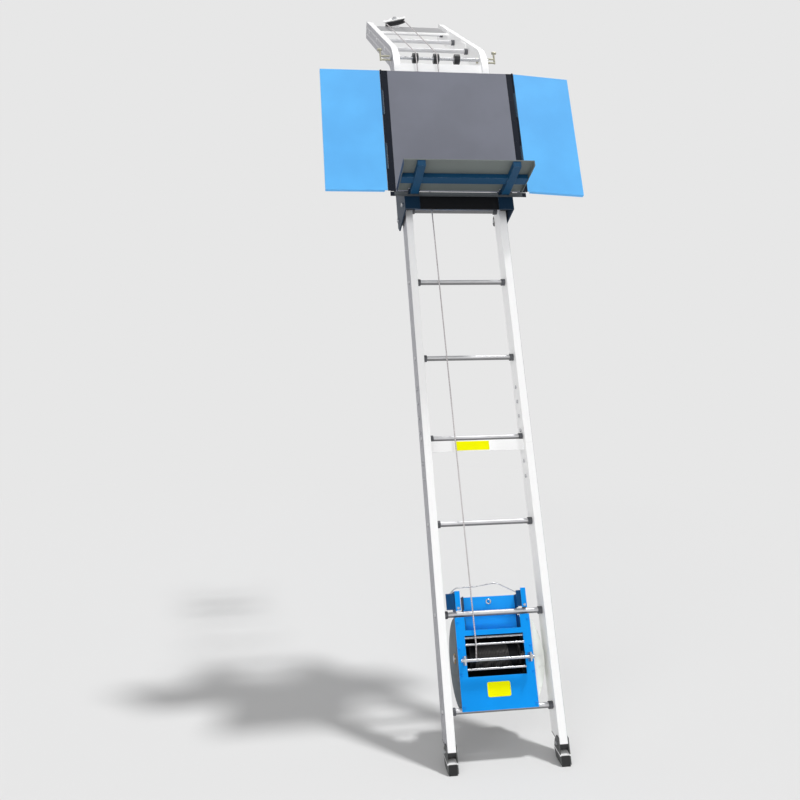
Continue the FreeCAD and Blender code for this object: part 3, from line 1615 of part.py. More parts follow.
def hinge_strip(side):
    """An angle on the panel's edge, with knuckles along its outer side."""
    inner = d.panel_half_width
    tall = (d.panel_bottom, PANEL_TOP)
    front = box(across(side, inner, STRIP_OUTER), SHEET, tall)
    rear = box(
        across(side, inner, inner + d.panel_sheet), (PANEL_BACK, PANEL_BACK + 3 * d.wing_return), tall
    )
    hinge_at = d.hinge_across if side > 0 else -d.hinge_across
    edge = STRIP_OUTER if side > 0 else -STRIP_OUTER
    barrels = knuckles(hinge_at, edge, STRIP_KNUCKLES)
    return cut(fuse(front, rear, *barrels), hinge_bore(hinge_at, d.fit_gap))


lip_bottom = d.panel_bottom - d.lip_depth - d.lip_height
lip = box((-STRIP_OUTER, STRIP_OUTER), SHEET, (lip_bottom, d.panel_bottom - d.lip_depth))
slots = []
for side in SIDES.values():
    slot_span = across(side, EAR_SPANS[0][0] - d.rope_gap, EAR_SPANS[1][1] + d.rope_gap)
    slot_low = d.shelf_axis_height - d.ear_radius - d.rope_gap
    slots.append(box(slot_span, (-d.panel_front - 1, PANEL_BACK + 1), (slot_low, d.panel_bottom)))
strips = [hinge_strip(side) for side in SIDES.values()]
node("hinge_strips", leaned(*strips, cut(lip, *slots)))

hinge_pins = []
for side in SIDES.values():
    hinge_at = d.hinge_across if side > 0 else -d.hinge_across
    pin = rod("z", (hinge_at, HINGE_Y), d.hinge_pin_radius, (HINGE_BOTTOM - 2, PANEL_TOP + 2))
    cap = rod("z", (hinge_at, HINGE_Y), d.hinge_barrel, (PANEL_TOP, PANEL_TOP + 2))
    hinge_pins.append(fuse(pin, cap))
    span = across(side, EAR_SPANS[0][0] - 2, EAR_SPANS[1][1] + 2)
    hinge_pins.append(rod("x", SHELF_AXIS, d.shelf_pin_radius, span))
node("hinge_pins", leaned(*hinge_pins))

# Carriage rollers and their axles


def axle(side, where):
    """A stepped pin through the side plate, with a head outside and a ring inside the roller."""
    inner = STILE_MIDDLE - d.roller_width / 2
    outer = STILE_MIDDLE + d.roller_width / 2
    ring_outer = inner - d.roller_gap
    shank = rod("x", where, d.axle_radius, across(side, ring_outer - d.axle_collar, PLATE_OUTER))
    head = rod("x", where, d.axle_radius * 1.5, across(side, PLATE_OUTER, PLATE_OUTER + d.axle_head))
    boss = rod(
        "x", where, d.axle_radius * 1.5, across(side, outer + d.roller_gap, d.side_plate_across)
    )
    clip = rod("x", where, d.axle_radius * 1.4, across(side, ring_outer - d.axle_collar, ring_outer))
    return fuse(shank, head, boss, clip)


axles = [axle(side, where) for where in ROLLER_PAIRS.values() for side in SIDES.values()]
node("roller_axles", leaned(*axles))


def carriage_roller(side, where):
    half = d.roller_width / 2
    span = across(side, STILE_MIDDLE - half, STILE_MIDDLE + half)
    through = across(side, STILE_MIDDLE - half - 1, STILE_MIDDLE + half + 1)
    bore = rod("x", where, d.axle_radius + d.fit_gap, through)
    return cut(rod("x", where, d.roller_radius, span), bore)


for name, where in ROLLER_PAIRS.items():
    pair_of = [carriage_roller(side, where) for side in SIDES.values()]
    node(f"rollers_{name}", leaned(*pair_of))

# Wings

WING_INNER = d.hinge_across + d.hinge_barrel + 0.5
WING_OUTER = WING_INNER + d.wing_width


def wing(side, tilt):
    """A sheet with folded edges, made flat about its hinge and then tilted back."""
    tall = (HINGE_BOTTOM, PANEL_TOP)
    sheet_part = box(across(side, WING_INNER, WING_OUTER), SHEET, tall)
    outer_edge = box(across(side, WING_OUTER - d.panel_sheet, WING_OUTER), returned, tall)
    clear = WING_INNER + d.wing_return
    low_edge = box(
        across(side, clear, WING_OUTER), returned, (HINGE_BOTTOM, HINGE_BOTTOM + d.panel_sheet)
    )
    high_edge = box(across(side, clear, WING_OUTER), returned, (PANEL_TOP - d.panel_sheet, PANEL_TOP))
    hinge_at = d.hinge_across if side > 0 else -d.hinge_across
    edge = WING_INNER if side > 0 else -WING_INNER
    barrels = knuckles(hinge_at, edge, WING_KNUCKLES)
    whole = cut(
        fuse(sheet_part, outer_edge, low_edge, high_edge, *barrels), hinge_bore(hinge_at, d.fit_gap)
    )
    if tilt is None:
        return whole
    # the hinge line is brought to the middle, turned about and brought back
    home = group([whole], base=(-hinge_at, -HINGE_Y, 0))
    return group([home], tilt, (hinge_at, HINGE_Y, 0), (0, 0, 1))


node("wing_left", leaned(wing(SIDES["left"], None)))
node("wing_right", leaned(wing(SIDES["right"], d.wing_rest_tilt)))

# Shelf

SHELF_TOP = d.panel_bottom + d.shelf_sheet
SHELF_FRONT = -d.shelf_reach
shelf_rear = -d.shelf_axis_front + d.shelf_rear
shelf_parts = [box(PANEL_SPAN, (SHELF_FRONT, shelf_rear), (d.panel_bottom, SHELF_TOP))]
for side in SIDES.values():
    edge = across(side, d.panel_half_width - d.panel_sheet, d.panel_half_width)
    edge_low = d.panel_bottom - d.shelf_edge
    shelf_parts.append(box(edge, (SHELF_FRONT, -d.shelf_axis_front - 6), (edge_low, d.panel_bottom)))
shelf_slots = []
slot_front = -d.shelf_axis_front - d.ear_radius - 2 * d.rope_gap
for side in SIDES.values():
    for low, high in EAR_SPANS:
        slot_span = across(side, low - d.rope_gap, high + d.rope_gap)
        slot_height = (d.panel_bottom - 1, SHELF_TOP + 1)
        shelf_slots.append(box(slot_span, (slot_front, shelf_rear + 1), slot_height))
node("shelf_plate", leaned(cut(fuse(*shelf_parts), *shelf_slots)))


def shelf_arm(side):
    """A box arm under the plate, round about its hinge pin at the rear."""
    span = across(side, *ARM_EDGES)
    low = d.panel_bottom - d.shelf_arm_depth
    rear = -d.shelf_axis_front - d.ear_radius
    arm = box(span, (SHELF_FRONT + 2, rear), (low, d.panel_bottom))
    eye_block = box(span, (rear, -d.shelf_axis_front), (d.shelf_axis_height - d.ear_radius, d.panel_bottom))
    round_end = rod("x", SHELF_AXIS, d.ear_radius, span)
    return [arm, eye_block, round_end]


shelf_bar = box(
    (-d.panel_half_width + d.panel_sheet + d.shelf_frame_gap,
     d.panel_half_width - d.panel_sheet - d.shelf_frame_gap),
    (-d.shelf_bar_start - d.shelf_bar_width, -d.shelf_bar_start),
    (d.panel_bottom - d.shelf_edge, d.panel_bottom),
)
arms = [part for side in SIDES.values() for part in shelf_arm(side)]
pin_bore = rod(
    "x", SHELF_AXIS, d.shelf_pin_radius + d.fit_gap, (-d.panel_half_width, d.panel_half_width)
)
node("shelf_frame", leaned(cut(fuse(*arms, shelf_bar), pin_bore)))

# Checks and files

doc.recompute()
faults = []
for thing in doc.Objects:
    if any(word in thing.State for word in ("Invalid", "Error")):
        faults.append(f"{thing.Label} is in state {thing.State}")
for thing in NODES:
    if thing.Shape.isNull() or not thing.Shape.isValid():
        faults.append(f"{thing.Label} has no valid shape")
if faults:
    print("\n".join(faults))
    sys.exit(1)
os.makedirs("parts", exist_ok=True)
for thing in NODES:
    thing.Shape.exportStep(f"parts/{thing.Label}.step")
print(len(NODES), "nodes")
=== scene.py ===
import json
import math
import bpy
from mathutils import Matrix, Vector


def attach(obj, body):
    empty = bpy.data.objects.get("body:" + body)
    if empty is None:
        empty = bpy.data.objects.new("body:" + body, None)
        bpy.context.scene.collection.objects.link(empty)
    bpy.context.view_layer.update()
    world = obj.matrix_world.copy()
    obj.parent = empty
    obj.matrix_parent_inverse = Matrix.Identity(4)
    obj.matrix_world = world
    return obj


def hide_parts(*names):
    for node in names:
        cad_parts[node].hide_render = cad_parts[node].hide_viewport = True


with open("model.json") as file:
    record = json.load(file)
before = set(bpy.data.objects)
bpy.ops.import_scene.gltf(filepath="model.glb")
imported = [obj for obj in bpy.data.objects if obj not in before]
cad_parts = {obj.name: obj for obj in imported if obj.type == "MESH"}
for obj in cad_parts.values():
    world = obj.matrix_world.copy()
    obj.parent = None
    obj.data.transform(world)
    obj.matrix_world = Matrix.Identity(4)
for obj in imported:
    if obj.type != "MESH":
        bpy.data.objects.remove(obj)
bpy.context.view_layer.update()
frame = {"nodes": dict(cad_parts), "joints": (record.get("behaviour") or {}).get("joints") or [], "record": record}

nodes = frame["nodes"]
bodyOfNode = {node: body for body, group in frame["record"]["behaviour"]["bodies"].items() for node in group}
slotOfNode = {node: nodes[node].data.materials[0].name.split(".")[0] for node in nodes}
print("frame loaded with", len(nodes), "nodes")

# Places: the ladder's own directions come from the carriage's slide, in metres from the floor line
hoist = {
    "kneeCorner": 3.0,
    "kneeTurn": math.radians(43.3),
    "winchAcross": -0.008,
    "firstRung": 0.207,
    "rungPitch": 0.3333,
    "headFirstRung": 0.280,
    "stileOuter": 0.215,
    "rungDepth": 0.037,
}
slideAxis = next(joint["axis"] for joint in frame["joints"] if joint["name"] == "carriage_slide")
upLadder = Vector(slideAxis).normalized()
behindLadder = Vector((0, upLadder.z, -upLadder.y))
leanBack = math.atan2(upLadder.y, upLadder.z)
onLadder = Matrix(((1, 0, 0), behindLadder, upLadder)).transposed().to_4x4()
onHead = onLadder @ Matrix.Translation((0, 0, hoist["kneeCorner"])) @ Matrix.Rotation(-hoist["kneeTurn"], 4, "X")
hookRungHeight = hoist["firstRung"] + hoist["rungPitch"]
onWinch = onLadder @ Matrix.Translation((hoist["winchAcross"], 0, hookRungHeight))


# Shader sums: a wire is an output that can be added, multiplied and so on
class Wire:
    def __init__(self, finish, socket):
        self.finish = finish
        self.socket = socket

    def reckon(self, operation, first, second):
        return self.finish.add("ShaderNodeMath", {"operation": operation}, {0: first, 1: second})

    def __add__(self, other):
        return self.reckon("ADD", self, other)

    def __radd__(self, other):
        return self.reckon("ADD", other, self)

    def __sub__(self, other):
        return self.reckon("SUBTRACT", self, other)

    def __rsub__(self, other):
        return self.reckon("SUBTRACT", other, self)

    def __mul__(self, other):
        return self.reckon("MULTIPLY", self, other)

    def __rmul__(self, other):
        return self.reckon("MULTIPLY", other, self)

    def __truediv__(self, other):
        return self.reckon("DIVIDE", self, other)

    def __rtruediv__(self, other):
        return self.reckon("DIVIDE", other, self)

    def __abs__(self):
        return self.finish.add("ShaderNodeMath", {"operation": "ABSOLUTE"}, {0: self})


def screenColour(red, green, blue):  # 0 to 255 as seen on a screen, to the shader's own scale
    shares = [value / 255 for value in (red, green, blue)]
    linear = [share / 12.92 if share <= 0.04045 else ((share + 0.055) / 1.055) ** 2.4 for share in shares]
    return (*linear, 1)


def scaled(colour, factor):
    return (*[min(channel * factor, 1) for channel in colour[:3]], 1)


class Finish:
    def __init__(self, name):
        self.material = bpy.data.materials.new(name)
        self.material.use_nodes = True
        self.tree = self.material.node_tree
        self.tree.nodes.clear()

    def add(self, kind, settings=None, sockets=None, out=0):  # settings first, then values or wires of sockets
        node = self.tree.nodes.new(kind)
        for name, value in (settings or {}).items():
            setattr(node, name, value)
        for name, value in (sockets or {}).items():
            if isinstance(value, Wire):
                self.tree.links.new(value.socket, node.inputs[name])
            else:
                node.inputs[name].default_value = value
        return Wire(self, node.outputs[out]) if node.outputs else None

    def place(self, turn=0.0, stretch=(1, 1, 1)):  # Object coordinates, turned about X and stretched
        where = self.add("ShaderNodeTexCoord", out="Object")
        if turn:
            where = self.add("ShaderNodeMapping", None, {"Vector": where, "Rotation": (turn, 0, 0)})
        if stretch != (1, 1, 1):
            where = self.add("ShaderNodeMapping", None, {"Vector": where, "Scale": stretch})
        return where

    def noise(self, where, scale, detail=2.0, rough=0.5):
        sockets = {"Vector": where, "Scale": scale, "Detail": detail, "Roughness": rough}
        return self.add("ShaderNodeTexNoise", None, sockets)

    def bands(self, where, scale, direction, profile):  # straight stripes along one direction
        settings = {"bands_direction": direction, "wave_profile": profile}
        return self.add("ShaderNodeTexWave", settings, {"Vector": where, "Scale": scale, "Distortion": 0.0})

    def ramp(self, value, low, high, start=0.0, end=1.0):
        sockets = {"Value": value, "From Min": low, "From Max": high, "To Min": start, "To Max": end}
        return self.add("ShaderNodeMapRange", {"interpolation_type": "SMOOTHSTEP"}, sockets)

    def mix(self, mask, first, second):
        return self.add("ShaderNodeMix", {"data_type": "RGBA"}, {0: mask, 6: first, 7: second}, out=2)

    def split(self, where, axis):
        return self.add("ShaderNodeSeparateXYZ", None, {0: where}, out=axis)

    def along(self, where, direction):  # one vector's share of another
        return self.add("ShaderNodeVectorMath", {"operation": "DOT_PRODUCT"}, {0: where, 1: direction}, out="Value")

    def bump(self, height, distance, strength):
        return self.add("ShaderNodeBump", None, {"Height": height, "Distance": distance, "Strength": strength})

    def edges(self, reach):  # 1 along outer edges, 0 on flat faces
        rounded = self.add("ShaderNodeBevel", {"samples": 4}, {"Radius": reach})
        flat = self.add("ShaderNodeNewGeometry", out="Normal")
        return self.ramp(self.along(rounded, flat), 0.99, 0.86)

    def surface(self, **sockets):
        names = {"base": "Base Color", "metal": "Metallic", "rough": "Roughness", "coat": "Coat Weight",
                 "coatRough": "Coat Roughness", "normal": "Normal", "ior": "IOR"}
        shader = self.add("ShaderNodeBsdfPrincipled", None, {names[key]: value for key, value in sockets.items()})
        self.add("ShaderNodeOutputMaterial", None, {"Surface": shader})
        return self.material


# Powder coat: orange peel, cloudy tone, and thin rubbed edges, with painted shade and painted light on some parts
coats = {
    # wing_paint: the winch's blue made lighter, the extra lightness being painted light on the wings
    "wing_paint": {"colour": (94, 184, 253), "rough": 0.5, "peel": 0.35, "wear": 0.2, "ior": 1.4,
                   "inner": 0.2944, "innerColour": (10, 18, 32)},
    "blue_paint": {"colour": (0, 150, 242), "rough": 0.48, "peel": 0.45, "wear": 0.3, "ior": 1.22},
    "grey_paint": {"colour": (112, 115, 127), "rough": 0.66, "peel": 0.6, "wear": 0.3, "ior": 1.45},
    "white_paint": {"colour": (251, 251, 251), "rough": 0.4, "peel": 0.4, "wear": 0.3, "ior": 1.5},
    "cheek_paint": {"colour": (88, 100, 108), "rough": 0.5, "peel": 0.5, "wear": 0.4, "ior": 1.4},
    "navy_paint": {"colour": (10, 18, 32), "rough": 0.52, "peel": 0.45, "wear": 0.2, "ior": 1.22,
                   "below": 2.2277, "belowColour": (84, 88, 92), "belowReach": 0.268},
    # The carriage's side plates and the shelf frame: the blue darkened with painted shade, for the shade under the
    # shelf
    "frame_blue": {"colour": (10, 38, 60), "rough": 0.52, "peel": 0.45, "wear": 0.3, "ior": 1.25},
    "shelf_blue": {"colour": (16, 66, 100), "rough": 0.52, "peel": 0.45, "wear": 0.3, "ior": 1.25},
    "hook_blue": {"colour": (0, 150, 242), "rough": 0.48, "peel": 0.45, "wear": 0.3, "ior": 1.22,
                  "behind": 0.0165, "behindShadeColour": (8, 52, 92)},
    # The recess panel: the blue brightened with painted light, its side walls darkened with painted shade
    "recess_blue": {"colour": (24, 158, 252), "rough": 0.5, "peel": 0.45, "wear": 0.3, "ior": 1.22,
                    "outer": 0.0985, "outerShadeColour": (6, 44, 82)},
    "shelf_grey": {"colour": (106, 113, 111), "rough": 0.62, "peel": 0.6, "wear": 0.3, "ior": 1.45,
                   "sides": 0.2596, "sidesColour": (14, 30, 62)},
    "plate_grey": {"colour": (156, 156, 158), "rough": 0.5, "peel": 0.5, "wear": 0.3, "ior": 1.45},
    "black_paint": {"colour": (16, 17, 20), "rough": 0.52, "peel": 0.5, "wear": 0.2, "ior": 1.25},
    "shoe_paint": {"colour": (70, 72, 72), "rough": 0.42, "peel": 0.5, "wear": 0.6, "ior": 1.45,
                   "band": (0.0306, 0.0356), "bandColour": (246, 246, 246)},
}
coatDetail = {"cloud": 5.0, "peelScale": 620.0, "speckScale": 2400.0, "edgeReach": 0.0022, "scuffScale": 38.0,
              "peelDepth": 0.00022, "maskBlend": 0.0003}


def powderCoat(name, coat):
    finish = Finish(name)
    where = finish.place()
    colour = screenColour(*coat["colour"])
    cloud = finish.noise(where, coatDetail["cloud"], 3)
    peel = finish.noise(where, coatDetail["peelScale"], 1.5)
    speck = finish.noise(where, coatDetail["speckScale"], 0)
    dust = finish.noise(where, coatDetail["scuffScale"], 6, 0.65)
    scuff = finish.ramp(dust, 0.62, 0.78)
    tone = finish.mix(finish.ramp(cloud, 0.3, 0.7), scaled(colour, 0.93), scaled(colour, 1.06))
    across = finish.split(where, "X")

    def short(value, limit):  # 1 short of the limit, 0 past it
        return finish.ramp(value, limit, limit + coatDetail["maskBlend"], 1, 0)

    def beyond(value, limit):  # 0 short of the limit, 1 past it
        return finish.ramp(value, limit, limit + coatDetail["maskBlend"])

    if "inner" in coat:  # hinge knuckles in the strips' colour
        tone = finish.mix(short(abs(across), coat["inner"]), tone, screenColour(*coat["innerColour"]))
    if "below" in coat:  # the lip under the panel, nearer the shelf's colour
        height = finish.along(where, tuple(upLadder))
        lip = short(height, coat["below"]) * short(abs(across), coat["belowReach"])
        tone = finish.mix(lip, tone, screenColour(*coat["belowColour"]))
    if "behind" in coat:  # the hooks' recessed inner parts, darkened with painted shade
        depth = finish.along(where, tuple(behindLadder))
        tone = finish.mix(beyond(depth, coat["behind"]), tone, screenColour(*coat["behindShadeColour"]))
    if "band" in coat:  # the shoe's bare web, scraped bright
        level = finish.split(where, "Z")
        web = beyond(level, coat["band"][0]) * short(level, coat["band"][1])
        tone = finish.mix(web, tone, screenColour(*coat["bandColour"]))
    if "sides" in coat:  # the shelf's side edges, as the strips
        tone = finish.mix(beyond(abs(across), coat["sides"]), tone, screenColour(*coat["sidesColour"]))
    if "outer" in coat:  # the recess's side walls, darkened with painted shade
        fromMiddle = abs(across - hoist["winchAcross"])
        tone = finish.mix(beyond(fromMiddle, coat["outer"]), tone, screenColour(*coat["outerShadeColour"]))
    grain = finish.mix(finish.ramp(speck, 0.35, 0.75, 0, 0.18), tone, scaled(colour, 1.1))
    rubbed = finish.edges(coatDetail["edgeReach"]) * finish.ramp(dust, 0.42, 0.6) * coat["wear"]
    bare = tuple(channel * 0.35 + 0.62 * 0.65 for channel in colour[:3]) + (1,)
    base = finish.mix(rubbed, grain, bare)
    rough = coat["rough"] + (cloud - 0.5) * 0.12 + scuff * 0.12
    normal = finish.bump(peel + speck * 0.3, coatDetail["peelDepth"] * coat["peel"], 0.6)
    return finish.surface(base=base, rough=rough, metal=rubbed * 0.5, coat=0.03, coatRough=0.3,
                          ior=coat["ior"], normal=normal)


# Metals: extrusion lines, plating, ribs and strands
metalDetail = {"edgeReach": 0.0015, "lineDepth": 0.00009, "handledScale": 17, "turningScale": 900,
               "turningDepth": 0.00004, "stainScale": 60}
# The stiles' outer side faces get a grey tone as painted shade
stileMetal = {"colour": (252, 252, 252), "lines": 900, "metal": 0.08, "rough": 0.46,
              "outer": 0.2136, "outerShadeColour": (158, 158, 164), "outerBlend": 0.0003}


def extrudedMetal(name, turn, settings):
    finish = Finish(name)
    where = finish.place(turn)
    colour = screenColour(*settings["colour"])
    lines = finish.noise(finish.place(turn, (1, 1, 0.004)), settings["lines"], 3, 0.7)
    hair = finish.noise(finish.place(turn, (1, 1, 0.002)), settings["lines"] * 4, 1)
    cloud = finish.noise(where, 4, 3)
    handled = finish.ramp(finish.noise(where, metalDetail["handledScale"], 6, 0.7), 0.58, 0.74)
    tone = finish.mix(finish.ramp(lines, 0.3, 0.7), scaled(colour, 0.955), scaled(colour, 1.02))
    # Painted shade: the outer side faces, past the outer limit, turn grey
    apart = abs(finish.split(finish.place(), "X"))
    outside = finish.ramp(apart, settings["outer"], settings["outer"] + settings["outerBlend"])
    grey = screenColour(*settings["outerShadeColour"])
    side = finish.mix(finish.ramp(lines, 0.3, 0.7), scaled(grey, 0.92), scaled(grey, 1.08))
    tone = finish.mix(outside, tone, side)
    smudge = finish.mix(handled * 0.2, tone, scaled(colour, 0.82))
    rubbed = finish.edges(metalDetail["edgeReach"]) * 0.35
    base = finish.mix(rubbed, smudge, scaled(colour, 1.1))
    rough = settings["rough"] + (lines - 0.5) * 0.16 + (cloud - 0.5) * 0.1 + handled * 0.08
    normal = finish.bump(lines + hair * 0.6, metalDetail["lineDepth"], 0.7)
    return finish.surface(base=base, metal=settings["metal"], rough=rough, normal=normal)


def platedSteel(name, settings):
    finish = Finish(name)
    where = finish.place()
    colour = screenColour(*settings["colour"])
    spangle = finish.add("ShaderNodeTexVoronoi", None, {"Vector": where, "Scale": settings["spangle"]}, out="Color")
    tint = finish.add("ShaderNodeSeparateColor", None, {0: spangle})
    turning = finish.noise(finish.place(0, (0.04, 1, 1)), metalDetail["turningScale"], 2)
    stain = finish.ramp(finish.noise(where, metalDetail["stainScale"], 5, 0.7), 0.55, 0.75)
    tone = finish.mix(tint * 0.4, scaled(colour, 0.92), scaled(colour, 1.08))
    base = finish.mix(stain * settings["stain"], tone, screenColour(*settings["stainColour"]))
    rough = settings["rough"] + (tint - 0.5) * 0.14 + stain * 0.15
    normal = finish.bump(turning, metalDetail["turningDepth"], 0.3)
    return finish.surface(base=base, metal=settings["metal"], rough=rough, normal=normal)


rungSurface = {"colour": (218, 218, 220), "ribs": 55.0, "ribDepth": 0.00025, "metal": 0.35, "rough": 0.4,
               "wornScale": 9, "under": (-0.007, -0.0015), "underShade": 0.9, "ladderTop": (2.93, 2.94)}


def ribbedRung(name, settings):  # fine ribs round the rung, worn where feet stand, with painted shade underneath
    finish = Finish(name)
    where = finish.place()
    colour = screenColour(*settings["colour"])
    ribs = finish.bands(where, settings["ribs"], "X", "TRI")
    worn = finish.ramp(finish.noise(where, settings["wornScale"], 4, 0.6), 0.45, 0.7)
    tone = finish.mix(worn, scaled(colour, 0.9), scaled(colour, 1.05))
    # A band of painted shade along each rung's underside, up to the ladder's top
    height = finish.along(where, tuple(upLadder))
    step = (height - hoist["firstRung"]) / hoist["rungPitch"] + 0.5
    lift = (finish.add("ShaderNodeMath", {"operation": "FRACT"}, {0: step}) - 0.5) * hoist["rungPitch"]
    under = finish.ramp(lift, *settings["under"], 1, 0) * finish.ramp(height, *settings["ladderTop"], 1, 0)
    tone = finish.mix(under * settings["underShade"], tone, scaled(colour, 0.2))
    base = finish.mix(ribs * 0.15, tone, scaled(colour, 0.75))
    rough = settings["rough"] + worn * 0.12
    normal = finish.bump(ribs, settings["ribDepth"], 0.5)
    return finish.surface(base=base, metal=settings["metal"], rough=rough, normal=normal)


ropes = {
    "rope_steel": {"hollow": (162, 157, 158), "crown": (230, 225, 226), "grease": (150, 142, 138), "metal": 0.2},
    "greased_rope": {"hollow": (34, 33, 33), "crown": (104, 102, 100), "grease": (40, 38, 36), "metal": 0.5},
}
ropeLay = {"strands": 95.0, "wires": 520.0, "depth": 0.0008, "greaseScale": 45, "rough": 0.45}


def wireRope(name, rope):  # slanting bands give the lay of the strands, finer ones the wires
    finish = Finish(name)
    where = finish.place(leanBack)
    strands = finish.bands(where, ropeLay["strands"], "DIAGONAL", "SIN")
    wires = finish.bands(where, ropeLay["wires"], "DIAGONAL", "SIN")
    grease = finish.ramp(finish.noise(where, ropeLay["greaseScale"], 4), 0.5, 0.72)
    tone = finish.mix(strands, screenColour(*rope["hollow"]), screenColour(*rope["crown"]))
    base = finish.mix(grease * 0.3, tone, screenColour(*rope["grease"]))
    rough = ropeLay["rough"] + grease * 0.15
    normal = finish.bump(strands + wires * 0.3, ropeLay["depth"], 0.8)
    return finish.surface(base=base, metal=rope["metal"], rough=rough, normal=normal)


# Plastics and rubber
plasticDetail = {"cloud": 8, "dustScale": 30, "dustColour": screenColour(128, 124, 118), "ior": 1.45}


def moulded(name, settings):
    finish = Finish(name)
    where = finish.place()
    colour = screenColour(*settings["colour"])
    grain = finish.noise(where, settings["grain"], 2)
    cloud = finish.noise(where, plasticDetail["cloud"], 3)
    dust = finish.ramp(finish.noise(where, plasticDetail["dustScale"], 6, 0.7), 0.55, 0.75)
    tone = finish.mix(finish.ramp(cloud, 0.3, 0.7), scaled(colour, 0.9), scaled(colour, 1.1))
    base = finish.mix(dust * settings["dust"], tone, plasticDetail["dustColour"])
    rough = settings["rough"] + (grain - 0.5) * 0.15 + dust * 0.08
    normal = finish.bump(grain, settings["depth"], 0.7)
    return finish.surface(base=base, rough=rough, ior=settings.get("ior", plasticDetail["ior"]), normal=normal)


plastics = {
    # collar_plastic: the collars' dark grey is partly their own colour, partly painted shade where each rung meets
    # the stile
    "collar_plastic": {"colour": (84, 85, 89), "grain": 900, "rough": 0.5, "depth": 0.00012, "dust": 0.15},
    "black_plastic": {"colour": (34, 34, 36), "grain": 1100, "rough": 0.48, "depth": 0.00012, "dust": 0.12},
    "case_plastic": {"colour": (240, 243, 236), "grain": 1300, "rough": 0.5, "depth": 0.00014, "dust": 0.2},
    "rubber": {"colour": (38, 38, 39), "grain": 420, "rough": 0.78, "depth": 0.0003, "dust": 0.35},
    "roller_nylon": {"colour": (40, 41, 43), "grain": 700, "rough": 0.44, "depth": 0.00008, "dust": 0.18},
    "yellow_film": {"colour": (255, 255, 0), "grain": 260, "rough": 0.5, "depth": 0.00005, "dust": 0.02, "ior": 1.12},
}
platings = {
    "zinc_steel": {"colour": (196, 197, 200), "spangle": 260, "metal": 0.85, "rough": 0.32,
                   "stain": 0.3, "stainColour": (140, 138, 132)},
    "passivated_steel": {"colour": (180, 177, 158), "spangle": 260, "metal": 0.6, "rough": 0.42,
                         "stain": 0.4, "stainColour": (118, 113, 92)},
    "sleeve_metal": {"colour": (190, 191, 194), "spangle": 90, "metal": 0.8, "rough": 0.4,
                     "stain": 0.2, "stainColour": (150, 150, 150)},
    "bronze": {"colour": (186, 150, 92), "spangle": 300, "metal": 0.9, "rough": 0.36,
               "stain": 0.4, "stainColour": (96, 66, 34)},
}

finishes = {name: powderCoat(name + "_coat", coat) for name, coat in coats.items()}
finishes.update({name: moulded(name + "_moulded", plastic) for name, plastic in plastics.items()})
finishes.update({name: platedSteel(name + "_plated", plating) for name, plating in platings.items()})
finishes["stile_metal"] = extrudedMetal("stile_extrusion", leanBack, stileMetal)
finishes["rung_metal"] = ribbedRung("rung_ribbed", rungSurface)
finishes.update({name: wireRope(name + "_wires", rope) for name, rope in ropes.items()})
headExtrusion = extrudedMetal("head_extrusion", leanBack + hoist["kneeTurn"], stileMetal)

# Each node wears its slot's finish, apart from these
ownFinish = {
    "shelf_frame": "shelf_blue", "shelf_plate": "shelf_grey", "carriage_side_plates": "frame_blue",
    "winch_hooks": "hook_blue", "winch_recess_panel": "recess_blue", "sheave_plate": "plate_grey",
    "knee_pin_left": "passivated_steel", "knee_pin_right": "passivated_steel",
    "hinge_pins": "black_paint", "drum_rope": "greased_rope",
}
finishOfNode = {node: finishes[ownFinish.get(node, slotOfNode[node])] for node in nodes}
finishOfNode.update({node: headExtrusion for node in nodes if node.startswith("head_stile")})
for node, thing in nodes.items():
    for slot in thing.material_slots:
        slot.material = finishOfNode[node]
print("finishes made:", len(finishes))


# Modelling, as by hand
def clearSelection():
    if bpy.context.object and bpy.context.object.mode != "OBJECT":
        bpy.ops.object.mode_set(mode="OBJECT")
    bpy.ops.object.select_all(action="DESELECT")


def pick(piece):
    clearSelection()
    piece.select_set(True)
    bpy.context.view_layer.objects.active = piece


def editAll(piece):
    pick(piece)
    bpy.ops.object.mode_set(mode="EDIT")
    bpy.ops.mesh.select_all(action="SELECT")


def modify(piece, kind, **settings):
    pick(piece)
    modifier = piece.modifiers.new("shape", kind)
    for name, value in settings.items():
        setattr(modifier, name, value)
    bpy.ops.object.modifier_apply(modifier=modifier.name)


def smooth(piece, degrees):
    pick(piece)
    bpy.ops.object.shade_smooth_by_angle(angle=math.radians(degrees))


def settle(piece, name, place, body, slot, replaced=()):
    clearSelection()
    piece.name = name
    piece.data.transform(place @ piece.matrix_world)
    piece.matrix_world = Matrix.Identity(4)
    piece.data.materials.clear()
    piece.data.materials.append(finishes[slot])
    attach(piece, body)
    if replaced:
        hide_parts(*replaced)


def joined(pieces):
    clearSelection()
    for piece in pieces:
        piece.select_set(True)
    bpy.context.view_layer.objects.active = pieces[0]
    bpy.ops.object.join()
    return bpy.context.object


def copied(piece, place):
    twin = bpy.data.objects.new(piece.name + "_copy", piece.data.copy())
    bpy.context.scene.collection.objects.link(twin)
    twin.data.transform(place)
    return twin


turnedDetail = {"merge": 0.00001, "smoothAngle": 35}


